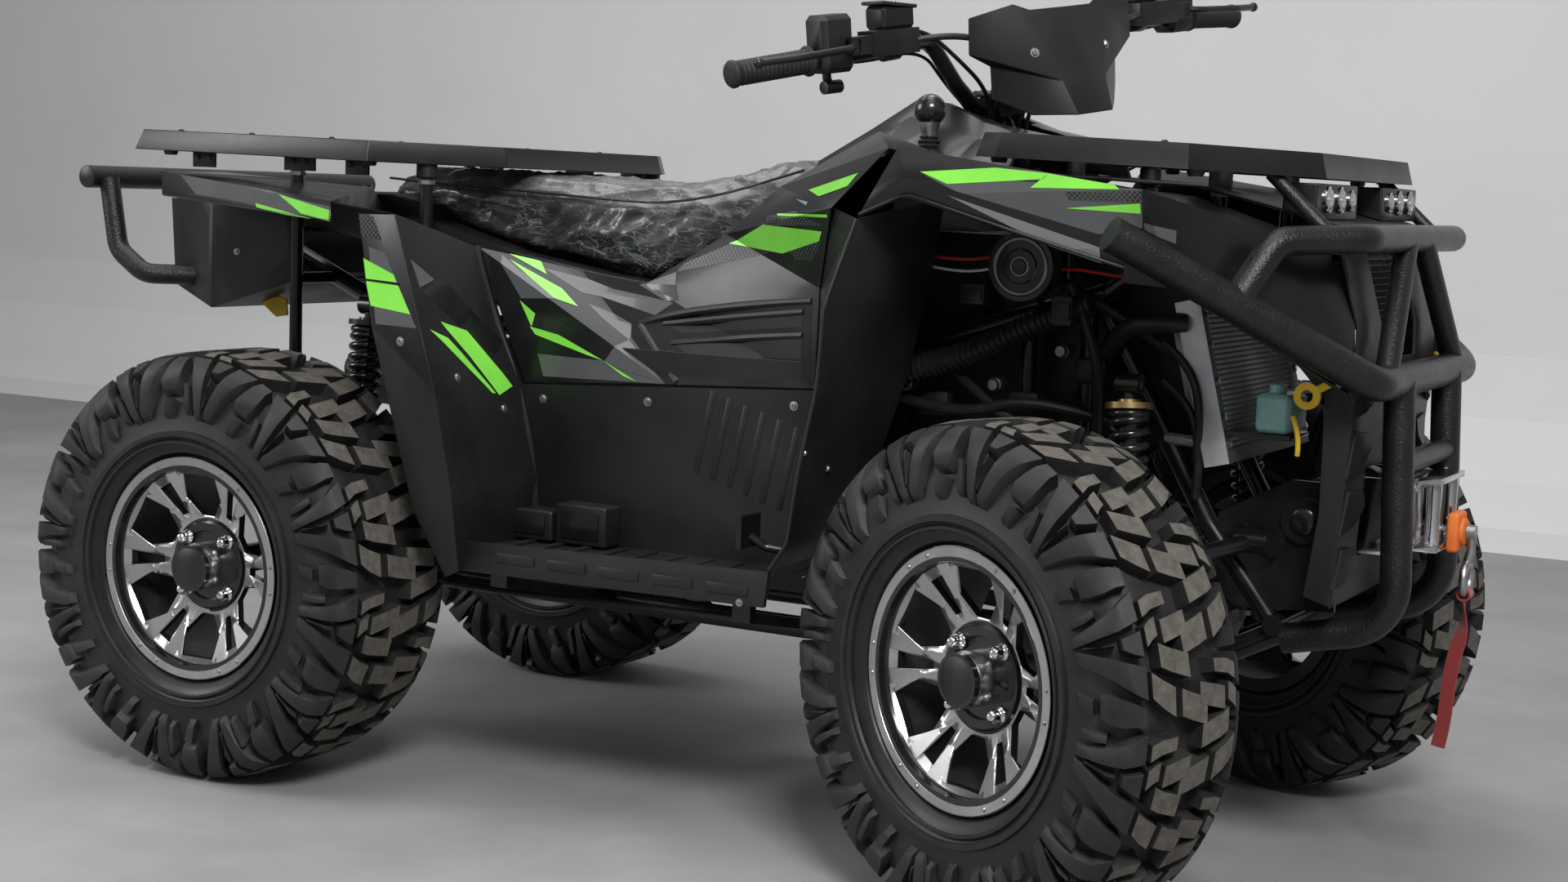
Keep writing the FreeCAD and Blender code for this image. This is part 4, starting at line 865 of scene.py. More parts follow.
def lug_mesh(half, ease):
    """The lugs of one pitch on both halves, which are staggered, with their tops marked."""
    top_rows, base_rows = tread_profiles(half)
    bm = bmesh.new()
    crowns, shoulder = [], []
    for side, shift in ((1, 0), (-1, HALF_PITCH)):
        for rows in LUGS:
            strips = []
            for n, (place, start, end) in enumerate(rows):
                ledge = LUG_LEDGE if n == 0 else -LUG_LEDGE if n == len(rows) - 1 else 0
                ring = []
                for profile, into, draft, sink in ((top_rows, ledge, LUG_DRAFT, 0),
                                                   (base_rows, 0, 0, LUG_SINK)):
                    across, radius = on_profile(profile, place + into)
                    for along in (start + draft, end - draft):
                        place_on_ring = on_ring((along + shift) / TYRE_RADIUS, radius - sink, side * across)
                        ring.append(bm.verts.new(place_on_ring))
                strips.append(ring)
            for (a, b, c, d), (e, f, g, h) in zip(strips, strips[1:]):
                crowns.append(bm.faces.new([a, b, f, e]))
                for corners in ([c, g, h, d], [a, e, g, c], [b, d, h, f]):
                    bm.faces.new(corners)
            if rows[0][0] > SHOULDER_ROW:
                shoulder += crowns[-len(rows) + 1:]
            for a, b, c, d in (strips[0], strips[-1]):
                bm.faces.new([a, c, d, b])
    bmesh.ops.recalc_face_normals(bm, faces=bm.faces[:])
    rims = [edge for edge in bm.edges if sum(face in crowns for face in edge.link_faces) == 1]
    for face in crowns:
        face.material_index = 0 if face in shoulder else 1
    bmesh.ops.bevel(bm, geom=rims, offset=ease, segments=1, affect="EDGES", clamp_overlap=True, material=0)
    mesh = mesh_of(bm, "lugs")
    marks = [polygon.material_index == 1 for polygon in mesh.polygons]
    mesh.attributes.new("top", "BOOLEAN", "FACE").data.foreach_set("value", marks)
    return mesh


def wheel_place(body):
    """The matrix from a wheel's own axes, y outwards, to its place on the machine."""
    axis = Vector(AXES[body]["axis"]).normalized()
    outward = axis if (axis.y < 0) == ("right" in body) else -axis
    along = outward.cross(UP).normalized()
    turn = Matrix((along, outward, along.cross(outward))).transposed().to_4x4()
    return Matrix.Translation(AXES[body]["pos_m"]) @ turn


def wheel_list():
    """Rows of (body, word, half width, the lip's distance from the tyre's middle)."""
    return [("wheel_%s_%s" % (end, side), end + "_" + side, half, lip)
            for end, half, lip in WHEELS for side in ("right", "left")]


class QUAD_OT_tyres(bpy.types.Operator):
    """Build the four tyres with their tread lugs"""
    bl_idname = "quad.tyres"
    bl_label = "Tyres"

    def execute(self, context):
        sizes = context.scene.quad_sizes
        tree = ring_tree()
        for body, word, half, lip in wheel_list():
            bead = lip - BEAD_INSET
            carcass = tread_profiles(half)[1]
            skin = carcass + [(half - 5, 196), (lip + 5, 182), (lip + 2.5, 176), (lip + 1, 171), (bead, 165.5),
                              (bead, 153)]
            profile = [(-across, radius) for across, radius in reversed(skin[1:])] + skin
            build = Build().turned(Vector(), LEFT, profile + [profile[0]], "tyre_rubber", 96)
            for face in build.bm.faces:
                middle = face.calc_center_median()
                if math.hypot(middle.x, middle.z) < SIDEWALL_RADIUS / 1000:
                    face.material_index = build.index("sidewall")
            for side in (1, -1):
                for radius, width, proud in SIDEWALL_RINGS:
                    foot, crest = side * (half - 7.5), side * (half - 5.5 + proud)
                    low, high = radius - width, radius + width
                    rows = [(foot, low), (crest, low + 1.5), (crest, high - 1.5), (foot, high), (foot, low)]
                    build.turned(Vector(), LEFT, rows, "sidewall", 96)
            build.take(grown(tree, lug_mesh(half, sizes.lug_ease), count=sizes.tread_pitches,
                             finish=finish("tyre_rubber"), top_finish=finish("tread_top")))
            bmesh.ops.transform(build.bm, matrix=wheel_place(body), verts=build.bm.verts)
            build.done("tyre_tread_" + word, "tyre_rubber", ("tyre_" + word,), 38, body)
        return {"FINISHED"}


def cast_rim(node, to_wheel, lip):
    """A rim in its wheel's own axes, with its open face machined and its spokes' edges rounded."""
    bm = copied(node, flat_angle=0.4)
    bmesh.ops.transform(bm, matrix=to_wheel, verts=bm.verts)
    names = ("rim_black", "rim_back", "machined_face")
    back = lip - 62
    for face in bm.faces:
        middle = face.calc_center_median() * 1000
        radius = math.hypot(middle.x, middle.z)
        if face.normal.y > 0.4 and middle.y > lip - 60 and radius > 60:
            name = "machined_face"
        elif middle.y < back and radius > 100:
            name = "rim_back"
        else:
            name = "rim_black"
        face.material_index = names.index(name)
    sharp = [edge for edge in bm.edges if len(edge.link_faces) == 2 and edge.calc_face_angle(0) > 0.5
             and max(abs(vert.co.y) for vert in edge.verts) * 1000 < lip - 3
             and min(vert.co.y for vert in edge.verts) * 1000 > back]
    bmesh.ops.bevel(bm, geom=sharp, offset=0.0016, segments=2, affect="EDGES", clamp_overlap=True)
    mesh = mesh_of(bm, "rim")
    for name in names:
        mesh.materials.append(finish(name))
    return mesh


class QUAD_OT_rims(bpy.types.Operator):
    """Build the alloy wheels, with machined faces, lip rivets, nuts and hub cap"""
    bl_idname = "quad.rims"
    bl_label = "Wheels"

    def execute(self, context):
        for body, word, half, lip in wheel_list():
            place = wheel_place(body)
            build = Build().take(cast_rim("rim_" + word, place.inverted(), lip))
            hub = lip - HUB_DEPTH
            for rows, name, steps in (
                    ([(lip - 1, 151), (lip + 0.6, 152), (lip + 0.6, 163.4), (lip - 0.8, 165)],
                     "machined_face", 96),
                    ([(lip - 9, 144.4), (lip + 0.2, 145.5), (lip + 0.4, 151), (lip - 1, 152)],
                     "rim_black", 96),
                    ([(hub - 2, 66), (hub + 3, 66), (hub + 5, 63), (hub + 5, 52), (hub + 2, 50)],
                     "rim_black", 64),
                    ([(hub, 35), (lip - 14, 35), (lip - 10, 34), (lip - 6, 31)], "machined_face", 48),
                    ([(lip - 6.4, 31.5), (lip - 2, 31), (lip - 0.6, 29), (lip - 0.2, 0)],
                     "control_plastic", 48)):
                build.turned(Vector(), LEFT, rows, name, steps)
            for n in range(NUTS):
                build.turned(on_ring(FULL_TURN * (n + 0.5) / NUTS, NUT_CIRCLE, 0), LEFT,
                             [(hub + 4, 11), (hub + 6, 11), (hub + 6, 9.2), (hub + 15, 9), (hub + 20, 7.4),
                              (hub + 23.5, 3.6), (hub + 24.5, 0)], "chrome", 12)
            middles = [FULL_TURN * (n + 0.5) / SPOKES for n in range(SPOKES)]
            rivets = [(on_ring(middle + shift, RIVET_CIRCLE, lip + 0.4), LEFT, 3.2)
                      for middle in middles for shift in (-RIVET_SPREAD, RIVET_SPREAD)]
            build.take(screw_heads(rivets, height=0.55, recess="zinc"))
            for middle in middles:
                turn = Matrix.Rotation(middle, 3, "Y")
                for hand in (-1, 1):
                    outline = [turn @ (Vector((hand * a, hub + 1.4 + (r - 70) * FACE_SLOPE, r)) / 1000)
                               for a, r in SPOKE_FACE]
                    build.plate(outline, RIGHT * 0.004, "machined_face", 0.6)
            plane = build.bm.loops.layers.uv.new("wheel_plane")
            for each in build.bm.faces:
                for loop in each.loops:
                    loop[plane].uv = (loop.vert.co.x + 0.5, loop.vert.co.z + 0.5)
            bmesh.ops.transform(build.bm, matrix=place, verts=build.bm.verts)
            build.done("wheel_face_" + word, "rim_machined", ("rim_" + word,), 30, body)
        return {"FINISHED"}


# Running gear
def coil_points(start, way, length, radius, turns):
    """Points of a coil whose end turns lie flat."""
    first, second = frame_of(way)
    points = []
    count = turns * 10
    for n in range(count + 1):
        share = n / count
        angle = FULL_TURN * turns * share
        rise = length * min(1, max(0, (share - 0.05) / 0.9))
        points.append(start + way * rise + (first * math.cos(angle) + second * math.sin(angle)) * radius)
    return points


# The dampers' eyes at the top and at the foot, on the left side, and the springs' seats from them
SHOCKS = (((668, 238, 668), (698, 283, 275)), ((-560, 262, 700), (-565, 305, 344.3)))
TOP_SEAT = 32.3
FOOT_SEAT = 40.3
SPRING_RADIUS = 28.6
# Bosses on the side plates: rows of (x, y, z, radius)
BOSSES = ((880, 143.4, 500, 17), (785, 136.8, 430, 7), (905, 136.8, 420, 7), (905, 136.8, 530, 7))


class QUAD_OT_suspension(bpy.types.Operator):
    """Build the coil springs and finish the dampers, arms, knuckles and rods"""
    bl_idname = "quad.suspension"
    bl_label = "Suspension"

    def execute(self, context):
        sizes = context.scene.quad_sizes
        wire = sizes.spring_wire * 1000
        build = Build()
        trim = Build()
        for side in (-1, 1):
            for shock in SHOCKS:
                top, foot = side_spots(shock, side)
                way = (foot - top).normalized()
                length = (foot - top).length * 1000
                start = top + way * ((TOP_SEAT + wire) / 1000)
                reach = (length - TOP_SEAT - FOOT_SEAT - 2 * wire) / 1000
                coil = coil_points(start, way, reach, (SPRING_RADIUS - wire) / 1000, sizes.spring_turns)
                build.run(coil, wire, "spring_black", detail=2)
                half = length * 0.5
                low, high = length - 40.4, length - 31.6
                for rows, name in (
                        ([(20, 8), (20, 15.6), (23, 15.8), (24, 31.2), (32, 31.2), (32.2, 17)],
                         "brass" if top.x > 0 else "spring_black"),
                        ([(half - 4, 15.2), (half - 4, 16.6), (half + 2, 16.6), (half + 2, 8.4)],
                         "spring_black"),
                        ([(low, 8.6), (low, 31.3), (high, 31.3), (high, 8.6)], "spring_black")):
                    trim.turned(top, way, rows, name)
                for end in (top, foot):
                    trim.turned(end, AHEAD, [(-16.6, 0), (-16.6, 6), (16.6, 6), (16.6, 0)], "zinc", 6)
        build.done("coil_springs", "spring_black", ("springs",), 60)
        trim.done("damper_trim", "damper_steel")
        coat_nodes("spring_black", "shocks")
        coat_nodes("frame_black", "front_arms", "rear_arms")
        coat_nodes("axle_steel", "knuckle_right", "knuckle_left", "tie_rod_right", "tie_rod_left")
        coat_nodes("hose_rubber", "drive_shafts")
        return {"FINISHED"}


class QUAD_OT_frame(bpy.types.Operator):
    """Finish the tubular frame and the bumpers"""
    bl_idname = "quad.frame"
    bl_label = "Frame and bumpers"

    def execute(self, context):
        coat_nodes("frame_black", "frame", "frame_top", "frame_uprights", "floor_rails")
        coat_nodes("bumper_black", "front_bumper", "rear_bumper")
        build = Build()
        for side in (-1, 1):
            build.turned(spot(-1071, side * 350, 880), side * LEFT, [(-2, 17.6), (1, 17.2), (2.6, 14), (3, 0)],
                         "control_plastic", 24)
            for x, y, z, radius in BOSSES:
                build.turned(spot(x, side * y, z), side * LEFT,
                             [(0, radius), (3, radius), (5, radius * 0.8), (5.4, 0)], "frame_black", 24)
        build.take(screw_heads([(spot(880, side * 143, 500), side * LEFT, 4) for side in (-1, 1)], sides=6))
        build.done("frame_bosses", "frame_black")
        return {"FINISHED"}


class QUAD_OT_engine(bpy.types.Operator):
    """Finish the engine, gear cases and exhaust, with their ribs and bolts"""
    bl_idname = "quad.engine"
    bl_label = "Engine and exhaust"

    def execute(self, context):
        dressed("engine", "engine_alloy", 3.0)
        dressed("gear_cases", "case_alloy", 3.0)
        coat_nodes("exhaust_black", "exhaust")
        middle = spot(120, -150, 430)
        build = Build().turned(middle, RIGHT, [(-2, 84), (3, 82), (5, 76), (4, 60), (6, 40), (6.5, 0)],
                               "engine_alloy", 48)
        bolts = []
        for n in range(9):
            angle = math.radians(40 * n + 10)
            place = middle + Vector((math.cos(angle) * 0.088, 0.004, math.sin(angle) * 0.088))
            bolts.append((place, RIGHT, 4.2))
        rib = Build().block(spot(-150, 152, 372), (5, 5, 60), "engine_alloy", 1.2)
        build.take(grown(bpy.data.node_groups["row_of_copies"], mesh_of(rib.bm, "rib"), count=10,
                         step=(0.02, 0, 0), finish=finish("engine_alloy")))
        for x, z in ((-205, 410), (-150, 352), (85, 352), (138, 412), (110, 488), (-140, 508)):
            bolts.append((spot(x, 150, z), LEFT, 4.2))
        for side in (-1, 1):
            for x in (-620, -680, 620, 680):
                bolts.append((spot(x, side * 72, 300), side * LEFT, 4.5))
        build.take(screw_heads(bolts, height=0.8, sides=6, recess="zinc"))
        build.done("engine_covers", "engine_alloy")
        return {"FINISHED"}


# Plastic shell
FOOTBOARD_TOP = 384
# Dark sheets of painted shade behind the gaps, as outlines of (x, z): with y and the reach across, in the
# middle
MIDDLE_SHADE_SHEETS = (
    ([(-600, 868), (-508, 838), (-322, 790), (-170, 766), (-87, 758), (0, 800), (60, 842), (134, 892),
      (300, 960), (300, 716), (-600, 716)], -203, 406),
    ([(-760, 872), (-560, 872), (-492, 858), (-492, 800), (-560, 790), (-760, 820)], -215, 430),
)
# and with y, reach, finish and edge on each side; the first two are dark sheets of painted shade in the front
# bay and behind the slits
SIDE_LINERS_AND_SHADE_SHEETS = (
    ([(300, 470), (470, 470), (640, 575), (742, 560), (722, 812), (640, 850), (560, 852), (300, 852)],
     74, 8, "panel_matt", 2),
    ([(-322, 560), (238, 560), (238, 668), (-322, 668)], 294, -3, "panel_matt", 0.5),
    ([(770, 838), (905, 852), (944, 760), (948, 700), (936, 640), (880, 700), (800, 770)],
     198, -3, "panel_grey", 0.6),
    ([(812, 822), (888, 838), (902, 800), (840, 768)], 203, -6, "panel_grey", 2),
    ([(912, 704), (951, 702), (934, 402), (900, 412), (914, 520)], 199, -4, "panel_grey", 1),
)
# Rounded edges on each side: the rear guard's pillar, the leg shield's edge and the fender's lip
LINER_EDGES = (
    ([(-334, 303, 800), (-300, 303, 700), (-252, 303, 604), (-216, 303, 470), (-214, 303, 392)],
     9.5, "panel_black", {"sides": 3, "detail": 8}),
    ([(372, 452, 868), (330, 452, 752), (323, 452, 644), (300, 450, 538), (286, 448, 442), (258, 442, 404)],
     2.6, "panel_grey", {"order": 2}),
    ([(375, 452, 874), (439, 451, 902), (600, 419, 854), (770, 385, 806), (860, 312, 742)],
     2.4, "panel_black", {"order": 2}),
)
# Ribs of the knee panel, as (x, z) on its surface
KNEE_RIBS = (
    ((-74, 702), (-40, 718), (140, 744), (228, 752)), ((-36, 704), (60, 717), (140, 727), (214, 736)),
    ((-12, 678), (70, 689), (140, 697), (214, 704)), ((-74, 700), (-30, 662), (18, 626)),
)


class QUAD_OT_shell(bpy.types.Operator):
    """Build the eased plastic shell: fenders, guards, footwells, panels, console, nose and tail"""
    bl_idname = "quad.shell"
    bl_label = "Plastic shell"

    def execute(self, context):
        ease = context.scene.quad_sizes.panel_ease * 1000
        dressed("front_fenders", [(lambda c, n: abs(c.y) > 395 and c.z > 925 and n.z > 0.5, "panel_matt"),
                                  (None, "panel_black")], ease)
        for node in ("leg_shields", "footwells"):
            dressed(node, "panel_matt", ease)
        dressed("rear_guards", [(lambda c, n: abs(c.y) > 495 and c.z > 700, "panel_black"),
                                (None, "panel_matt")], ease)
        dressed("rear_fenders", "panel_black", ease)
        dressed("side_panels", [(lambda c, n: c.x > 225, "panel_matt"), (None, "panel_black")], ease)
        dressed("console", "panel_black", ease + 2)
        dressed("nose", [(lambda c, n: c.z > 884 or abs(n.y) > 0.6, "panel_matt"), (None, "panel_grey")], ease)
        dressed("tail", "panel_matt", ease + 1)
        ribs, liners_and_shade, knee = Build(), Build(), Build()
        for side in (-1, 1):
            for n in range(9):
                ribs.block(spot(-190 + 48 * n, side * 366, 382.4), (12, 104, 5), "panel_matt", 1.6)
            for n in range(5):
                ribs.block(spot(-150 + 86 * n, side * 440.6, 371), (64, 3, 14), "panel_matt", 1.2)
            for n in range(6):
                ribs.block(spot(70 + 27 * n, side * 301.6, 560 - 8 * n), (10, 5, 120), "panel_matt", 1.8,
                           Matrix.Rotation(math.radians(12), 3, "Y"))
            for x, wide, tall in ((-205, 96, 44), (-108, 86, 58)):
                middle = FOOTBOARD_TOP + tall / 2
                ribs.block(spot(x, side * 322, middle), (wide, 44, tall), "panel_matt", 4, None, 3)
                ribs.block(spot(x, side * 345, middle), (wide - 22, 3, tall - 18), "panel_black", 1.2)
        ribs.done("footboard_ribs", "panel_black")

        # Dark sheets of painted shade close the gaps, beside the liners' plates and rounded edges
        for outline, y, reach in MIDDLE_SHADE_SHEETS:
            liners_and_shade.plate(upright(outline, y), LEFT * (reach / 1000), "panel_matt", 2)
        for side in (-1, 1):
            for outline, y, reach, name, edge in SIDE_LINERS_AND_SHADE_SHEETS:
                liners_and_shade.plate(upright(outline, side * y), LEFT * (side * reach / 1000), name, edge)
            for z, tall in ((448, 52), (520, 58), (596, 60), (664, 46)):
                face_x = 937 + (z - 400) * 17 / 300
                corners = [(face_x - 2, 196, z - tall / 2), (face_x + 8, 168, z - tall * 0.3),
                           (face_x + 9, 122, z + tall * 0.05), (face_x + 6, 120, z + tall * 0.4),
                           (face_x + 3, 180, z + tall / 2)]
                liners_and_shade.plate(side_spots(corners, side), AHEAD * -0.006, "panel_matt", 1)
            for points, radius, name, settings in LINER_EDGES:
                liners_and_shade.run(side_spots(points, side), radius, name, **settings)
        liners_and_shade.done("inner_liners", "panel_black")

        for rows in KNEE_RIBS:
            found = [on_shell("side_panels", "Y", x, z) for x, z in rows]
            for side in (1, -1):
                knee.run([mirrored(where - normal * 0.003, side) for where, normal in found], 6, "panel_matt")
        knee.done("knee_ribs", "panel_black")
        return {"FINISHED"}


def node_tree_of(node):
    """A ray-cast tree of a CAD node."""
    mesh = NODES[node].data
    return BVHTree.FromPolygons([vert.co for vert in mesh.vertices],
                                [polygon.vertices for polygon in mesh.polygons])


def on_shell(node, facing, first, second):
    """A node's outer surface place and normal on the right side, at (x, z) facing Y or at (y, z) facing X."""
    start, way = (spot(1100, first, second), -AHEAD) if facing == "X" else (spot(first, -700, second), LEFT)
    where, normal, _, _ = node_tree_of(node).ray_cast(start, way)
    return where, normal if normal.dot(way) < 0 else -normal


# The films' thickness, and decals of the right side, among them one painted reflection: node, facing, lift in
# mm, finish, outlines
FILM = 0.25
DECALS = [
    ("rear_fenders", "Y", 0.35, "decal_grey", [
        [(-840, 891), (-745, 884), (-443, 853), (-445, 832), (-630, 851), (-792, 860)]]),
    ("rear_fenders", "Y", 0.75, "decal_green", [
        [(-617, 874), (-444, 848), (-446, 833), (-513, 841), (-571, 867)],
        [(-630, 852), (-492, 835), (-495, 831), (-627, 846)]]),
    ("rear_guards", "Y", 0.35, "halftone_side", [[(-410, 860), (-365, 841), (-349, 809), (-385, 815)]]),
    ("rear_guards", "Y", 0.35, "decal_grey", [[(-372, 800), (-342, 792), (-285, 690), (-357, 692)]]),
    ("rear_guards", "Y", 0.75, "decal_green", [[(-385, 785), (-327, 763), (-296, 709), (-366, 717)]]),
    ("rear_guards", "Y", 1.1, "decal_black", [[(-380, 755), (-318, 752), (-316, 748), (-380, 752)]]),
    ("rear_guards", "X", 0.35, "decal_grey", [[(-486, 785), (-440, 756), (-479, 746)]]),
    ("rear_guards", "X", 0.35, "decal_black", [[(-421, 759), (-310, 665), (-341, 647), (-477, 742)]]),
    ("rear_guards", "X", 0.75, "decal_green", [
        [(-448, 698), (-391, 683), (-325, 602), (-359, 591)],
        [(-478, 688), (-443, 675), (-366, 594), (-374, 595)]]),
    ("side_panels", "Y", 0.3, "panel_black", [
        [(-78, 700), (-40, 716), (140, 742), (230, 750), (230, 626), (20, 622), (-30, 660)]]),
    ("side_panels", "Y", 0.6, "panel_matt", [
        [(-30, 702), (214, 734), (214, 716), (0, 692)], [(-6, 676), (214, 702), (214, 672), (30, 660)]]),
    ("side_panels", "Y", 0.35, "decal_grey", [
        [(-298, 790), (-264, 770), (-193, 732), (-251, 729)],
        [(-243, 773), (-139, 747), (-32, 733), (-56, 714), (-177, 740)],
        [(-160, 726), (-88, 700), (-80, 678), (-127, 705)],
        [(-219, 650), (-105, 648), (0, 622), (-208, 618)], [(-80, 678), (0, 622), (-105, 644)],
        [(-100, 755), (-36, 777), (-23, 737), (-47, 735)]]),
    ("side_panels", "Y", 0.75, "decal_green", [
        [(-300, 795), (-253, 782), (-232, 764)], [(-286, 784), (-201, 745), (-165, 721), (-198, 732)],
        [(-253, 726), (-225, 708), (-231, 689)],
        [(-234, 689), (-183, 680), (-105, 648), (-132, 654), (-224, 678)],
        [(-105, 648), (-47, 622), (-69, 628)],
        [(53, 822), (137, 852), (268, 848), (259, 835), (171, 814)],
        [(161, 868), (286, 871), (285, 867), (166, 865)],
        [(221, 902), (348, 926), (328, 909), (255, 894)]]),
    ("side_panels", "Y", 0.35, "halftone_side", [
        [(-25, 790), (56, 822), (154, 816), (-36, 777)], [(176, 832), (262, 835), (234, 806), (199, 808)],
        [(136, 864), (208, 873), (270, 856), (140, 851)]]),
    ("side_panels", "Y", 0.5, "decal_pale", [[(192, 889), (228, 886), (229, 881)]]),
    ("front_fenders", "Y", 0.35, "decal_grey", [
        [(462, 926), (740, 918), (738, 872), (683, 862), (503, 908)],
        [(740, 878), (771, 870), (771, 854), (740, 870)]]),
    # The pale strip low on the front fender is a painted reflection of the fender's lower flange, laid as a
    # film like the decals
    ("front_fenders", "Y", 0.35, "decal_pale", [[(494, 902), (682, 846), (682, 826), (630, 840)]]),
    ("front_fenders", "Y", 0.6, "halftone_dark", [[(645, 912), (740, 916), (739, 902), (650, 902)]]),
    ("front_fenders", "Y", 0.75, "decal_green", [
        [(456, 930), (555, 938), (623, 933), (618, 926), (493, 916)],
        [(623, 933), (707, 922), (713, 917), (601, 915)],
        [(644, 892), (737, 901), (737, 889)]]),
    ("console", "Y", 0.5, "decal_green", [[(241, 952), (317, 966), (300, 955), (250, 947)]]),
]


class QUAD_OT_decals(bpy.types.Operator):
    """Lay the green, grey and dotted decal films on the shell, and a pale film of painted reflection on each
    front fender
    """
    bl_idname = "quad.decals"
    bl_label = "Decals"

    def execute(self, context):
        build = Build()
        for node, facing, lift, name, outlines in DECALS:
            for part in (part for outline in outlines for part in decal_faces(node, outline, facing)):
                part.normal_update()
                for vert in part.verts:
                    vert.co += vert.normal * ((lift - FILM) / 1000)
                bmesh.ops.solidify(part, geom=part.faces[:], thickness=-FILM / 1000)
                mesh = mesh_of(part, "film")
                other = mesh.copy()
                other.transform(Matrix.Scale(-1, 4, LEFT))
                other.flip_normals()
                build.take(mesh, name)
                build.take(other, name)
        build.done("decal_films", "panel_grey")
        return {"FINISHED"}


# Seat
UNDERSIDE = 0.03
CLOTH_STEPS = 20
SEAT_SEAM = [(-606, 163, 896), (-508, 173, 890), (-322, 180, 884), (-170, 182, 876), (-87, 182, 874),
             (0, 178, 888), (60, 166, 906), (128, 146, 930)]


def foam_form(middle):
    """The seat's solid with rounded edges, drawn in a little toward its middle and evenly meshed."""
    bm = copied("seat", flat_angle=0.2)
    bmesh.ops.bevel(bm, geom=[edge for edge in bm.edges if edge.calc_face_angle(0) > 0.5], offset=0.012,
                    segments=3, affect="EDGES", clamp_overlap=True)
    mesh = mesh_of(bm, "seat_cover")
    for vert in mesh.vertices:
        vert.co = middle + (vert.co - middle) * Vector((0.986, 0.955, 0.955))
    foam = linked("seat_cover", mesh)
    remesh = foam.modifiers.new("remesh", "REMESH")
    remesh.mode = "VOXEL"
    remesh.voxel_size = 0.0062
    return plain_mesh(foam)


def swollen(mesh):
    """The foam's mesh under pressure from inside, as cloth."""
    cover = linked("seat_cover", mesh)
    cloth = cover.modifiers.new("cloth", "CLOTH")
    cloth.settings.use_pressure = True
    cloth.settings.uniform_pressure_force = 4
    cloth.settings.effector_weights.gravity = 0
    cloth.point_cache.frame_start = 1
    cloth.point_cache.frame_end = CLOTH_STEPS
    for step in range(1, CLOTH_STEPS + 1):
        bpy.context.scene.frame_set(step)
    mesh = plain_mesh(cover)
    bpy.context.scene.frame_set(1)
    return mesh


def ridge(place, width):
    """A crease's height from 0 to 1, along the lines where the noise is nought."""
    return (1 - min(1, abs(noise.noise(place)) / width)) ** 2


def creased(mesh, under):
    """Smooths the cover and folds its wrap above the height under."""
    bm = bmesh.new()
    bm.from_mesh(mesh)
    bmesh.ops.smooth_vert(bm, verts=bm.verts[:], factor=0.5, use_axis_x=True, use_axis_y=True, use_axis_z=True)
    bm.normal_update()
    for vert in bm.verts:
        x, y, z = vert.co
        if z >= under:
            place = Vector((x * 9 + z * 7, y * 12, z * 16 - x * 4))
            small = place * 2.3 + Vector((7, 3, 1))
            vert.co += vert.normal * (0.004 * ridge(place, 0.22) + 0.0024 * ridge(small, 0.2) - 0.0014)
    bm.to_mesh(mesh)
    bm.free()
    return mesh


class QUAD_OT_seat(bpy.types.Operator):
    """Swell the seat's foam by cloth simulation and wrap it in vinyl and film, whose sheen is painted into the
    vinyl's colour
    """
    bl_idname = "quad.seat"
    bl_label = "Seat"

    def execute(self, context):
        low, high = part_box("seat")
        rest = foam_form((low + high) / 2)
        start = [vert.co.copy() for vert in rest.vertices]
        mesh = swollen(rest)
        swell = context.scene.quad_sizes.seat_swell
        for vert, place in zip(mesh.vertices, start):
            move = vert.co - place
            if move.length > swell:
                move *= swell / move.length
            vert.co = place + move
        build = Build().take(creased(mesh, low.z + UNDERSIDE), "seat_vinyl")
        cover = build.done("seat_cover", "seat_vinyl", ("seat",), 80)
        seam = Build()
        for side in (-1, 1):
            seam.run(side_spots(SEAT_SEAM, side), 2.2, "piping_vinyl", sides=1, detail=4)
        seam.done("seat_piping", "seat_vinyl")
        return {"FINISHED"}


# Racks
class QUAD_OT_racks(bpy.types.Operator):
    """Build the pressed racks with rolled slots, rubber posts and brackets"""
    bl_idname = "quad.racks"
    bl_label = "Racks"

    def execute(self, context):
        for node in ("front_rack", "rear_rack"):
            dressed(node, "rack_black", 2.4)
        build = Build()
        screws = []
        for side in (-1, 1):
            for x, y, z in ((-860, 382, 941), (-470, 382, 935), (510, 330, 968), (785, 368, 958)):
                build.turned(spot(x, side * y, z - 16), UP, [(-6, 9), (-2, 11), (8, 11), (10, 9)],
                             "hose_rubber", 20)
            for x, y, z in ((-720, 250, 918), (-420, 310, 912), (540, 150, 940), (745, 150, 936)):
                build.turned(spot(x, side * y, z), UP, [(-14, 14), (-12, 15.5), (10, 15.5), (12, 14)],
                             "hose_rubber", 24)
                build.turned(spot(x, side * y, z - 20), UP, [(-3, 12.5), (3, 12.5)], "zinc", 6)
            for x, z, wide in ((-800, 905, 46), (-610, 905, 60), (-500, 902, 44)):
                build.block(spot(x, side * 372, z + 14), (wide, 4, 34), "rack_black", 1.2)
                screws += [(spot(x + dx, side * 374.5, z + 12), side * LEFT, 4.6) for dx in (-12, 12)]
        for x, y in ((-860, -360), (-860, 360), (-716, -360), (-716, 0), (-716, 360), (-560, -360),
                     (-560, 360)):
            screws.append((spot(x, y, 957.2 - (x + 900) * 0.016), UP, 4.5))
        for x, y in ((505, 150), (505, -150), (745, 372), (745, -372), (654, 0), (746, 0)):
            screws.append((spot(x, y, 984.2 - (x - 493) * 0.0314), UP, 4.5))
        build.take(screw_heads(screws, height=0.5, material="rack_black"))
        build.done("rack_mounts", "rack_black")
        return {"FINISHED"}


# Handlebar group, whose rest turn leans less than the column: its left bend and end, from the clamp
BAR_TILT = math.radians(22)
BAR_TURN = math.radians(-23.5)
CLAMP = Vector((360, 0, 1030))
BAR_BEND = Vector((46, 225, 106))
BAR_END = Vector((18, 490, 91))
KNOB = 22


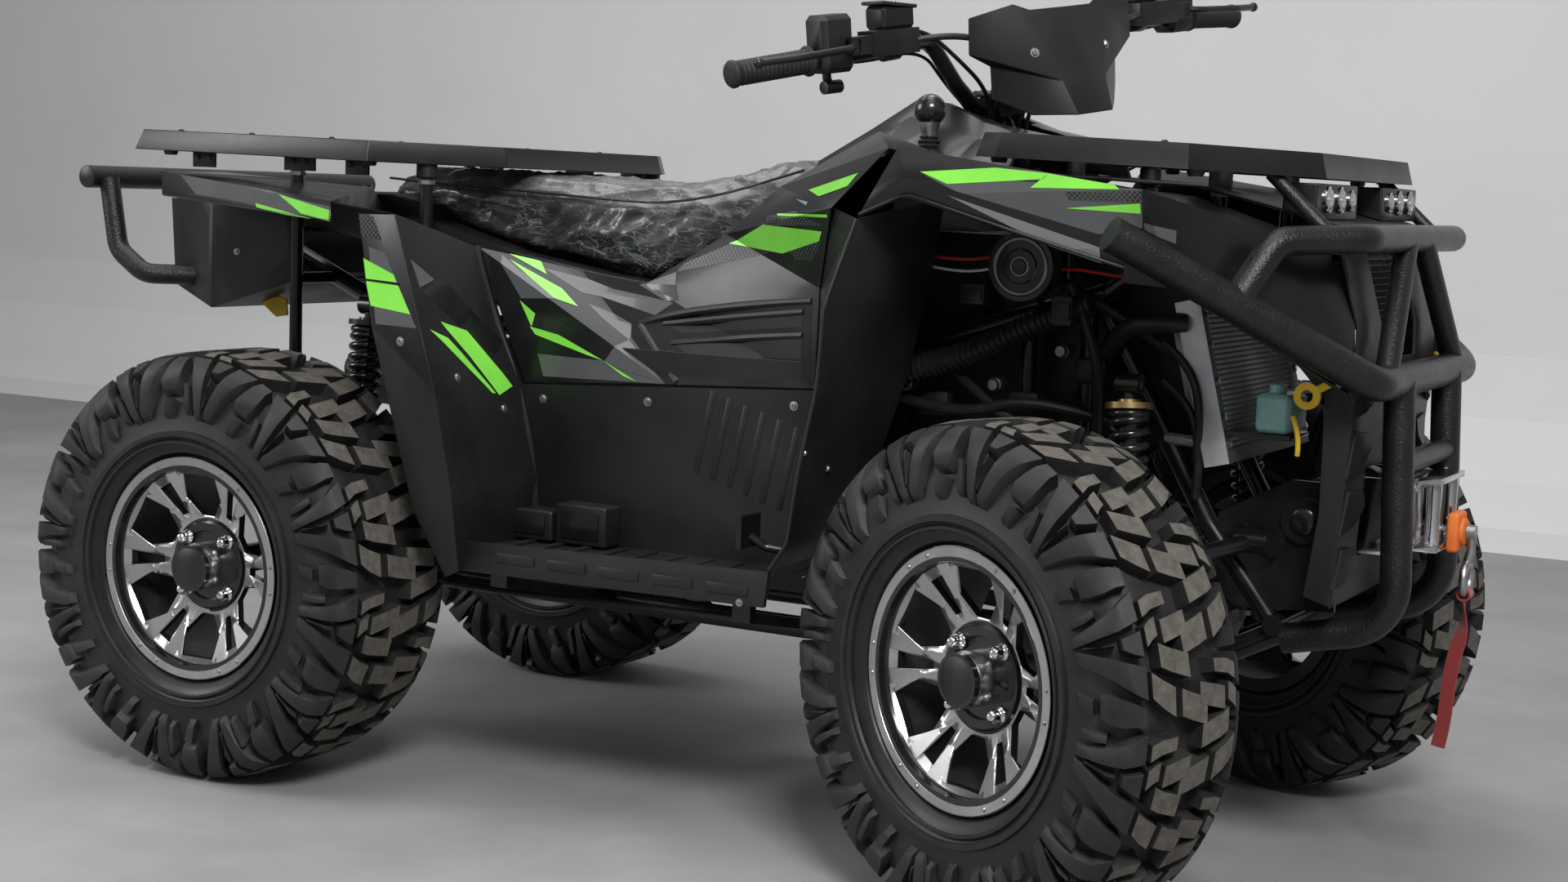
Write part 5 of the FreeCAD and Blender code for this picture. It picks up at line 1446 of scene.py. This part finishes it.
def grip_rows(ribs):
    """Rows of (along, radius) of a grip: its flange, ribs and rounded end."""
    rows = [(0, 12.2), (0, 20), (3, 20.4), (5, 19), (6, 16.2)]
    for n in range(ribs):
        at = 9 + 102 * n / ribs
        rows += [(at, 15.6), (at + 1.4, 16.6), (at + 4.2, 16.6), (at + 5.4, 15.6)]
    return rows + [(114, 16.2), (116, 18), (120, 18.4), (123.5, 16), (125, 10), (125, 0)]


def bar_cords(tank, box, side):
    """Radii and routes, from the clamp, of the brake hose, the cable and the wires of one side."""
    return (
        (4.4, [(tank.x + 30, tank.y - side * 24, tank.z + 8), (tank.x + 62, tank.y - side * 70, tank.z + 14),
               (tank.x + 66, side * 96, 92), (40, side * 44, 40), (16, side * 30, -10), (-2, side * 24, -70),
               (-16, side * 20, -118)]),
        (3.0, [(box.x - 4, box.y - side * 24, box.z + 2), (box.x + 4, box.y - side * 66, box.z + 20),
               (30, side * 170, 128), (22, side * 92, 74), (30, side * 50, 30), (22, side * 36, -20),
               (8, side * 32, -80), (-4, side * 30, -120)]),
        (2.4, [(box.x - 10, box.y - side * 24, box.z - 8), (box.x - 12, box.y - side * 60, box.z - 14),
               (6, side * 150, 96), (-12, side * 90, 40), (-14, side * 40, -6), (-18, side * 30, -60),
               (-20, side * 26, -110)]))


def bar_spot(x, y, z):
    """A place given from the clamp with the bar straight ahead, in mm."""
    turn = Matrix.Rotation(BAR_TURN, 3, Vector((-math.sin(BAR_TILT), 0, math.cos(BAR_TILT))))
    return spot(*(CLAMP + turn @ Vector((x, y, z))))


def bar_way(x, y, z):
    return (bar_spot(x, y, z) - bar_spot(0, 0, 0)).normalized()


class QUAD_OT_controls(bpy.types.Operator):
    """Build the handlebar's ribbed grips, switches, perches, levers, cables and shield"""
    bl_idname = "quad.controls"
    bl_label = "Handlebar and controls"

    def execute(self, context):
        coat_nodes("bar_black", "handlebar", "brake_levers")
        coat_nodes("frame_black", "steering_column", "brake_pedal")
        coat_nodes("zinc", "shift_lever")
        dressed("switch_boxes", "control_plastic", 2.6)
        dressed("brake_perches", [(lambda c, n: c.z > 1160, "control_plastic"), (None, "bar_black")], 2.4)
        dressed("pod", "panel_grey", 2.0)
        level = Matrix.Rotation(BAR_TURN, 3, "Z")
        grip = grip_rows(context.scene.quad_sizes.grip_ribs)
        upward = bar_way(0, 0, 1)
        rubber, build = Build(), Build()
        screws = []
        pod = node_tree_of("pod")
        for side in (-1, 1):
            start, end = (mirrored(place, side) for place in (BAR_BEND, BAR_END))
            way = (end - start).normalized()
            rubber.turned(bar_spot(*(end - way * 119)), bar_way(*way), grip, "grip_rubber")
            tank = start + way * 18
            box = start + way * 114
            build.block(bar_spot(tank.x + 4, tank.y - side, tank.z + 56), (44, 62, 5), "control_plastic", 1.6,
                        level)
            for dx, dy in ((-10, -22), (18, 22)):
                screws.append((bar_spot(tank.x + dx, tank.y + side * dy, tank.z + 58.6), upward, 3.2))
            build.turned(bar_spot(tank.x - 16.5, tank.y, tank.z + 40), bar_way(-1, 0, 0),
                         [(-1, 9), (1.2, 9), (1.6, 7), (1.7, 0)], "chrome", 24)
            for dz, name in ((42, "wire_red"), (22, "decal_pale"), (2, "control_plastic")):
                build.block(bar_spot(box.x - 23, box.y, box.z + dz), (6, 15, 9), name, 1.6, level)
            for radius, route in bar_cords(tank, box, side):
                build.run([bar_spot(*place) for place in route], radius, "hose_rubber", detail=8)
            for y, z in ((132, 150), (56, 150), (70, 84)):
                where, normal, _, _ = pod.ray_cast(bar_spot(400, side * y, z), bar_way(-1, 0, 0))
                if where is not None:
                    screws.append((where, normal, 5))
            screws += [(bar_spot(dx, side * 14, 24), upward, 5) for dx in (-14, 14)]
        rubber.done("ribbed_grips", "grip_rubber", ("grips",), 45, "steering")
        build.take(screw_heads(screws, height=0.5))
        build.block(bar_spot(0, 0, 17), (40, 62, 9), "bar_black", 2.0, level)
        build.block(bar_spot(92, 0, 66), (26, 74, 40), "control_plastic", 5.0,
                    Euler((0, math.radians(28), BAR_TURN)).to_matrix(), 3)
        build.done("control_details", "control_plastic", body="steering")
        ball = [(-KNOB * math.cos(math.pi * n / 14), (KNOB + 0.4) * math.sin(math.pi * n / 14))
                for n in range(1, 14)]
        gaiter = [(66, 6.5), (56, 10)]
        for n in range(6):
            gaiter += [(54 - 6 * n, 12 + 1.6 * n), (51 - 6 * n, 9.5 + 1.6 * n)]
        place = spot(347, -198, 1016)
        knob = Build().turned(place, UP, [(-KNOB, 0)] + ball + [(KNOB + 0.4, 0)], "rim_black", 40)
        knob.turned(place, -UP, [(18, 7), (20, 10), (26, 10.4), (34, 9), (38, 7)], "chrome", 28)
        knob.turned(place - UP * 0.084, UP, gaiter[::-1], "hose_rubber", 28)
        knob.done("shift_knob", "control_plastic")
        return {"FINISHED"}


# Cooling, horn and duct: the radiator's foot, the way it leans, and a hose as (out, y, up) on it
CORE_FOOT = Vector((756, 0, 562))
LEAN = Vector((-0.2436, 0, 0.9699))
LEAN_OUT = Vector((0.9699, 0, 0.2436))
RADIATOR_HOSE = ((10, 178, 190), (-20, 196, 196), (-80, 180, 200), (-150, 120, 150), (-220, 60, 90))
# Hoses and wires in the front bay: rows of (radius, finish, sides, route)
BAY_RUNS = (
    (2.2, "wire_red", 1, ((506, -190, 806), (560, -186, 812), (600, -178, 806), (660, -170, 800))),
    (2.2, "wire_red", 1, ((330, -214, 822), (390, -212, 816), (440, -204, 818), (500, -200, 832))),
    (2.0, "wire_white", 1, ((330, -210, 812), (380, -208, 800), (450, -204, 802), (500, -200, 822))),
    (3.4, "eye_yellow", 2, ((872, -196, 640), (884, -198, 618), (880, -192, 590))),
    (7.5, "hose_rubber", 3, ((330, -150, 700), (420, -176, 640), (480, -186, 600), (560, -170, 560))),
    (7.5, "hose_rubber", 3, ((300, -160, 620), (400, -190, 600), (520, -188, 640), (640, -150, 600))),
    (7.5, "hose_rubber", 3, ((560, -190, 790), (600, -196, 720), (610, -190, 640), (600, -170, 560))),
    (7.5, "hose_rubber", 3, ((440, -150, 840), (540, -168, 790), (640, -160, 742), (700, -150, 700))),
)
DUCT_ROUTE = ((300, -190, 650), (429, -188, 692), (511, -188, 734), (591, -190, 766))
DUCT_PITCH = 0.009
REAR_HOOK = ((-846, 707), (-790, 695), (-787, 669), (-811, 665), (-839, 684))


def fin_mesh():
    """One folded fin across the radiator's core."""
    fin = bmesh.new()
    rows = []
    for n in range(83):
        out = 28.3 + (3.2 if n % 2 else 0.4)
        rows.append([fin.verts.new(core_spot(out - back, -164 + 4 * n, 21 + rise))
                     for back, rise in ((0, 0), (0, 4.2), (2.2, 4.2), (2.2, 0))])
    for near, far in zip(rows, rows[1:]):
        for n in range(4):
            fin.faces.new([near[n], near[(n + 1) % 4], far[(n + 1) % 4], far[n]])
    fin.faces.new(rows[0][::-1])
    fin.faces.new(rows[-1])
    bmesh.ops.recalc_face_normals(fin, faces=fin.faces[:])
    return mesh_of(fin, "fin")


def front_fittings():
    """The duct's rings, the horn's face, wires, hoses, fittings and the rear hooks' plates."""
    small = Build()
    route = [spot(*place) for place in DUCT_ROUTE]
    for start, end in zip(route, route[1:]):
        way = (end - start).normalized()
        for n in range(int((end - start).length / DUCT_PITCH)):
            small.turned(start + way * (0.004 + DUCT_PITCH * n), way,
                         [(0, 15), (1.4, 18.4), (3.2, 18.4), (4.6, 15)], "hose_rubber", 24)
    for rows, name, steps in (
            ([(-2, 46), (1, 47), (3, 46), (3.5, 40), (2, 38), (3, 24), (5, 22), (6, 10), (8, 9), (8.6, 0)],
             "spring_black", 48),
            ([(3.4, 39), (4.4, 38), (4.4, 35), (3.2, 34)], "axle_steel", 48),
            ([(5.6, 14), (6.8, 13), (6.8, 11), (5.6, 10)], "axle_steel", 36)):
        small.turned(spot(506, -232, 812), RIGHT, rows, name, steps)
    for radius, name, sides, places in BAY_RUNS:
        small.run([spot(*place) for place in places], radius, name, sides=sides)
    for x, z, wide, tall in ((268, 752, 42, 60), (300, 716, 30, 30), (430, 770, 36, 26), (560, 756, 30, 40)):
        small.block(spot(x, -206, z), (wide, 26, tall), "control_plastic", 3.0)
        small.block(spot(x + 3, -220, z), (wide * 0.7, 6, tall * 0.6), "panel_matt", 1.5)
    for x, z in ((318, 640), (372, 566), (452, 648), (548, 700)):
        small.turned(spot(x, -152, z), RIGHT, [(0, 10), (26, 10), (28, 8), (34, 7), (35, 0)], "axle_steel", 20)
        small.block(spot(x + 34, -140, z - 26), (44, 40, 34), "engine_alloy", 4.0)
    for y, z in ((-176, 690), (-170, 640), (176, 690)):
        small.run([spot(690, y, z + 30), spot(730, y * 1.05, z + 6), spot(750, y * 1.06, z - 60),
                   spot(742, y, z - 120)], 6, "hose_rubber")
    for side in (-1, 1):
        small.plate(upright(REAR_HOOK, side * 190), LEFT * (side * 0.004), "eye_yellow", 0.6)
    return small


def core_spot(out, y, up):
    """A place on the leaning radiator, in mm out of its back's foot, across and up along it."""
    return spot(*(CORE_FOOT + Vector((0, y, 0)) + LEAN_OUT * out + LEAN * up))


class QUAD_OT_cooling(bpy.types.Operator):
    """Build the radiator's folded fins, the grille mesh, horn, duct, bottle and hoses"""
    bl_idname = "quad.cooling"
    bl_label = "Cooling and front fittings"

    def execute(self, context):
        count = context.scene.quad_sizes.radiator_fins
        row = bpy.data.node_groups["row_of_copies"]

        def in_core(centre, normal):
            along = (centre - CORE_FOOT).dot(LEAN)
            return abs(centre.y) < 163 and 19 < along < 199 and abs(normal.dot(LEAN_OUT)) > 0.8

        # The core's face behind the fins takes core_dark, painted shade of the deep core between the fins
        dressed("radiator", [(in_core, "core_dark"), (lambda c, n: c.x > 776 and c.z < 613, "frame_black"),
                             (None, "radiator_silver")], 2.0)
        build = Build().take(grown(row, fin_mesh(), count=count, step=tuple(LEAN * (0.178 / count)),
                                   finish=finish("fin_silver")))
        for side in (-1, 1):
            for up in (24, 60, 108, 156, 194):
                build.turned(core_spot(34, side * 173, up), LEAN_OUT, [(0, 5.5), (3, 5.5), (4, 4), (4.2, 0)],
                             "zinc", 6)
            build.run([core_spot(out, side * y, up) for out, y, up in RADIATOR_HOSE], 13, "hose_rubber",
                      sides=4)
        build.done("radiator_fins", "radiator_silver")

        grille = Build()
        for step, wires, start, end in (
                ((0, 0.0085, 0), 21, (938, -85, 712), (913, -85, 862)),
                ((-0.00135, 0, 0.0084), 18, (940, -88, 714), (940, 88, 714))):
            start, end = spot(*start), spot(*end)
            wire = swept([start, (start + end) / 2, end], 0.0009, sides=1, detail=2)
            grille.take(grown(row, wire, count=wires, step=step, finish=finish("bumper_black")))
        grille.done("grille_mesh", "panel_black")

        coat_nodes("hose_rubber", "intake_duct")
        coat_nodes("winch_black", "horn")
        coat_nodes("eye_yellow", "tie_down_eyes")
        dressed("coolant_bottle", "bottle_aqua", 3.5)
        front_fittings().done("front_fittings", "control_plastic")
        return {"FINISHED"}


# Winch: the drum's axis, the rope's distance from the middle, and the strap's route as (x, z)
DRUM_X = 893
DRUM_Z = 514
ROPE_Y = 4
STRANDS = 6
STRAP_ROUTE = ((1059.5, 400), (1058, 360), (1052, 320), (1047, 275), (1042, 235), (1038, 197))
STRAP_STEPS = 60


def twisted(start, end):
    """A rope of twisted strands between two places."""
    build = Build()
    first, second = frame_of(end - start)
    for strand in range(STRANDS):
        twist = []
        for n in range(41):
            share = n / 40
            angle = FULL_TURN * (share * 4 + strand / STRANDS)
            away = (first * math.cos(angle) + second * math.sin(angle)) * 0.0027
            twist.append(start.lerp(end, share) + away)
        build.run(twist, 1.5, "wire_rope", sides=1, detail=2)
    return build


def strap_form():
    """The hanging strap, which waves a little and turns from along the hook to across it near its top."""
    places, corners = [], []
    for n in range(STRAP_STEPS + 1):
        share = n / STRAP_STEPS * (len(STRAP_ROUTE) - 1)
        k = min(int(share), len(STRAP_ROUTE) - 2)
        (x, z), (next_x, next_z) = STRAP_ROUTE[k:k + 2]
        x += (next_x - x) * (share - k) + 1.6 * math.sin(n * 0.16)
        z += (next_z - z) * (share - k)
        y = ROPE_Y + 1.2 * math.sin(n * 0.11)
        turn = min(1, max(0, (402 - z) / 60))
        for wide, back in ((-12, 0.9), (12, 0.9), (12, -0.9), (-12, -0.9)):
            places.append(spot(x + back * math.cos(turn) - wide * math.sin(turn),
                               y + wide * math.cos(turn) + back * math.sin(turn), z))
    for a in range(0, 4 * STRAP_STEPS, 4):
        corners += [(a + k, a + (k + 1) % 4, a + 4 + (k + 1) % 4, a + 4 + k) for k in range(4)]
    corners += [(3, 2, 1, 0), tuple(range(4 * STRAP_STEPS, 4 * STRAP_STEPS + 4))]
    return Build().faces(places, corners, "strap_red")


class QUAD_OT_winch(bpy.types.Operator):
    """Build the winch's rope turns, rollers, hook, stopper and red strap"""
    bl_idname = "quad.winch"
    bl_label = "Winch and hook"

    def execute(self, context):
        turns = context.scene.quad_sizes.rope_turns
        dressed("winch", "winch_black", 1.6)
        dressed("fairlead", "fairlead_steel", 1.2)
        coat_nodes("zinc", "winch_hook")
        points = []
        count = turns * 12
        for n in range(count + 1):
            angle = FULL_TURN * turns * n / count
            points.append(spot(DRUM_X + 30.5 * math.cos(angle), -47 + 94 * n / count,
                               DRUM_Z + 30.5 * math.sin(angle)))
        Build().run(points, 4.0, "wire_rope", detail=3).done("rope_turns", "wire_rope")

        start, end = spot(923, ROPE_Y, 510), spot(1036, ROPE_Y, 488)
        line_piece = twisted(start, end).done("twisted_rope", "wire_rope", ("winch_rope",), 60)
        face = spot(1034.4, ROPE_Y, 488)
        build = Build().block(face + AHEAD * 0.008, (16, 52, 52), "stopper_orange", 5, None, 3)
        build.turned(face, AHEAD, [(15, 19), (20, 18.5), (22, 15), (22.2, 0)], "stopper_orange")
        stopper = build.done("rope_stopper", "stopper_orange", ("hook_stopper",))
        tuple(start)
        [tuple(start.lerp(end, n / 10)) for n in range(11)]

        trim = Build()
        for y in (-46, 46):
            trim.turned(spot(1022, y, 472), UP, [(2, 6), (3, 9.6), (12, 9.8), (42, 9.2), (72, 9.8), (81, 9.6),
                                                 (82, 6)], "chrome")
        heads = [(spot(1006.2, y, z), AHEAD, 5.5) for y in (-80, 80) for z in (480, 548)]
        for side in (-1, 1):
            for angle in (0.5, 2.07, 3.64, 5.2):
                place = spot(DRUM_X + 28 * math.cos(angle), side * 112.4, DRUM_Z + 28 * math.sin(angle))
                heads.append((place, side * LEFT, 3.6))
            trim.turned(spot(DRUM_X, side * 50, DRUM_Z), side * LEFT,
                        [(0, 40), (0, 46), (5, 46), (6, 42), (6, 40)], "winch_black", 40)
        trim.take(screw_heads(heads, height=0.7, sides=6, recess="zinc"))
        trim.done("winch_trim", "winch_black")

        ribbon = strap_form().done("pull_strap", "strap_red", ("hook_strap",), 50)
        loop = Build().turned(spot(1059.5, -8, 406), LEFT, [(0, 6.5), (0, 9), (24, 9), (24, 6.5), (0, 6.5)],
                              "strap_red", 24)
        loop_piece = loop.done("strap_loop", "strap_red")
        return {"FINISHED"}


# Lamps
class QUAD_OT_lamps(bpy.types.Operator):
    """Build the headlamp bowls and lenses and the tail lamps"""
    bl_idname = "quad.lamps"
    bl_label = "Lamps"

    def execute(self, context):
        dressed("headlights", "panel_black", 2.5)
        dressed("tail_lamps", "lens_red", 2.0)
        build = Build()
        for side in (-1, 1):
            for y, wide in ((98, 12), (148, 15), (204, 15)):
                middle = spot(900.5, side * y, 914)
                bowl = [(-0.5, wide + 2), (4, wide + 2), (5.5, wide + 0.6), (4, wide - 1), (1, wide * 0.5),
                        (0.6, 3), (4, 2.4), (6, 0)]
                lens = [(4.6, wide), (6.4, wide * 0.8), (7.6, wide * 0.4), (8, 0)]
                build.turned(middle, AHEAD, bowl, "chrome", 36)
                build.turned(middle, AHEAD, lens, "lens_clear", 36)
            build.block(spot(-1000.5, side * 170, 823), (3, 80, 26), "lens_red", 1.2)
            build.block(spot(-1000.8, side * 138, 823), (3.4, 12, 26), "wire_white", 1.0)
        build.turned(spot(800, -205, 812), Vector((1, -0.2, 0)),
                     [(-12, 0), (-10, 12), (6, 15), (10, 16), (12, 13), (8, 8), (8, 0)], "wire_white", 24)
        build.done("lamp_details", "lens_clear")
        return {"FINISHED"}


# Fasteners of the shell's right side: node, facing, place in mm as (x, z) or (y, z), the head's radius
SCREWS = (
    ("rear_guards", "Y", -313.1, 670.1, 5), ("rear_guards", "X", -443.5, 620.8, 5),
    ("rear_guards", "X", -353.2, 572.0, 5), ("footwells", "Y", -205.6, 585.7, 5),
    ("footwells", "Y", -25.8, 595.0, 5), ("footwells", "Y", 210.3, 607.9, 5),
    ("leg_shields", "X", -372.8, 536.1, 4.5), ("leg_shields", "X", -442.5, 562.9, 4.5),
    ("front_fenders", "Y", 722.6, 823.0, 6.5), ("tail", "Y", -818.1, 770.8, 4), ("tail", "X", 43.9, 773.3, 4),
    ("front_fenders", "X", -242.7, 689.2, 5), ("nose", "X", -169.5, 444.4, 4.5),
    ("footwells", "Y", 213.5, 354.6, 4),
)
LIP_PAD = (734.8, 823.6)


class QUAD_OT_fasteners(bpy.types.Operator):
    """Set the screws on the shell panels"""
    bl_idname = "quad.fasteners"
    bl_label = "Fasteners"

    def execute(self, context):
        rows = []
        for node, facing, first, second, radius in SCREWS:
            where, normal = on_shell(node, facing, first, second)
            rows += [(mirrored(where, side), mirrored(normal, side), radius) for side in (1, -1)]
        Build().take(screw_heads(rows, height=0.5)).done("panel_screws", "panel_black")
        pads = Build()
        where, normal = on_shell("front_fenders", "Y", *LIP_PAD)
        first, second = frame_of(normal)
        outline = [where + normal * 0.004 + first * (a / 1000) + second * (b / 1000)
                   for a, b in ((-26, -20), (30, -24), (34, 18), (-20, 22))]
        for side in (1, -1):
            pads.plate([mirrored(place, side) for place in outline], mirrored(normal * -0.005, side),
                       "panel_grey", 1.2)
        pads.done("lip_pads", "panel_grey")
        return {"FINISHED"}


# Stage, in metres: half the floor's width, the wall's distance, height and the radius of its foot
STAGE = 14
WALL_Y = 3.7
WALL_TOP = 7
WALL_CURVE = 0.5
# Rows of (name, place, target, size, power)
LIGHTS = (
    ("key_light", (2.6, -3.4, 3.6), (0.1, 0, 0.5), (1.4, 1.1), 200),
    ("top_light", (-0.4, -0.2, 4.2), (-0.1, 0, 0.4), (4.5, 3.0), 110),
    ("side_light", (-3.8, -2.6, 2.4), (0, 0, 0.5), (2.0, 2.0), 90),
)


class QUAD_OT_stage(bpy.types.Operator):
    """Set the camera, the pale floor and backdrop and the soft light"""
    bl_idname = "quad.stage"
    bl_label = "Stage"

    def execute(self, context):
        scene = context.scene
        scene.view_settings.view_transform = "Standard"
        across, downward, look = view_axes()
        lens = bpy.data.cameras.new("viewpoint")
        lens.sensor_width = 36
        lens.lens = LENS
        lens.clip_start = 0.05
        camera = linked("viewpoint", lens)
        turn = Matrix((across, -downward, -look)).transposed().to_4x4()
        camera.matrix_world = Matrix.Translation(VIEWPOINT) @ turn
        scene.camera = camera

        concrete = surface("floor_concrete", (0.27, 0.27, 0.265), (0.34, 0.34, 0.335), (0.6, 0.75), 2.2,
                           (160, 0.0002), specular=0.2)
        paint = surface("wall_paint", (0.62, 0.62, 0.615), (0.66, 0.66, 0.655), (0.6, 0.75), 1.1,
                        (160, 0.0002), specular=0.2)
        tree = paint.node_tree
        sides = put(tree, "ShaderNodeMixShader", {0: put(tree, "ShaderNodeNewGeometry").outputs["Backfacing"],
                                                  1: tree.nodes["Principled BSDF"].outputs["BSDF"],
                                                  2: put(tree, "ShaderNodeBsdfTransparent").outputs["BSDF"]})
        tree.links.new(sides.outputs["Shader"], tree.nodes["Material Output"].inputs["Surface"])
        curve = [(WALL_Y - WALL_CURVE + WALL_CURVE * math.sin(v), WALL_CURVE - WALL_CURVE * math.cos(v))
                 for v in (0, 0.4, 0.8, 1.2, math.pi / 2)]
        wall = [(x, y, z) for y, z in curve + [(WALL_Y, WALL_TOP)] for x in (-STAGE, STAGE)]
        for name, places, faces, material in (
                ("floor", [(-STAGE, -STAGE, 0), (STAGE, -STAGE, 0), (STAGE, STAGE, 0), (-STAGE, STAGE, 0)],
                 [(0, 1, 2, 3)], concrete),
                ("backdrop", wall, [(n, n + 1, n + 3, n + 2) for n in range(0, len(wall) - 2, 2)], paint)):
            mesh = bpy.data.meshes.new(name)
            mesh.from_pydata(places, [], faces)
            mesh.materials.append(material)
            linked(name, mesh)

        for name, place, target, size, power in LIGHTS:
            light = bpy.data.lights.new(name, "AREA")
            light.shape = "RECTANGLE"
            light.size, light.size_y = size
            light.energy = power
            way = Vector(target) - Vector(place)
            turn = way.to_track_quat("-Z", "Y").to_matrix().to_4x4()
            linked(name, light).matrix_world = Matrix.Translation(place) @ turn
        world = bpy.data.worlds.new("room")
        world.use_nodes = True
        world.node_tree.nodes["Background"].inputs["Color"].default_value = (0.93, 0.95, 1.0, 1)
        world.node_tree.nodes["Background"].inputs["Strength"].default_value = 0.32
        scene.world = world
        return {"FINISHED"}


OPERATORS = (QUAD_OT_stage, QUAD_OT_tyres, QUAD_OT_rims, QUAD_OT_suspension, QUAD_OT_frame, QUAD_OT_engine,
             QUAD_OT_shell, QUAD_OT_decals, QUAD_OT_seat, QUAD_OT_racks, QUAD_OT_controls, QUAD_OT_cooling,
             QUAD_OT_winch, QUAD_OT_lamps, QUAD_OT_fasteners)


class QUAD_PT_builder(bpy.types.Panel):
    """Lists the quad bike's pieces in the order in which they are built"""
    bl_idname = "QUAD_PT_builder"
    bl_label = "Quad Bike"
    bl_space_type = "VIEW_3D"
    bl_region_type = "UI"
    bl_category = "Quad"

    def draw(self, context):
        column = self.layout.column(align=True)
        for group in (context.scene.quad_sizes, context.scene.quad_colours):
            for name in group.bl_rna.properties.keys():
                if name not in {"rna_type", "name"}:
                    column.prop(group, name)
            column.separator()
        for operator in OPERATORS:
            column.operator(operator.bl_idname)


CLASSES = (QuadSizes, QuadColours, *OPERATORS, QUAD_PT_builder)


def register():
    for each in CLASSES:
        bpy.utils.register_class(each)
    bpy.types.Scene.quad_sizes = PointerProperty(type=QuadSizes)
    bpy.types.Scene.quad_colours = PointerProperty(type=QuadColours)


def unregister():
    del bpy.types.Scene.quad_colours
    del bpy.types.Scene.quad_sizes
    for each in reversed(CLASSES):
        bpy.utils.unregister_class(each)


def main():
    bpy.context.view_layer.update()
    register()
    make_finishes(bpy.context.scene.quad_colours)
    row_tree()
    head_tree()
    for operator in OPERATORS:
        name = operator.bl_idname.split(".")[1]
        getattr(bpy.ops.quad, name)()


if __name__ == "__main__":
    main()
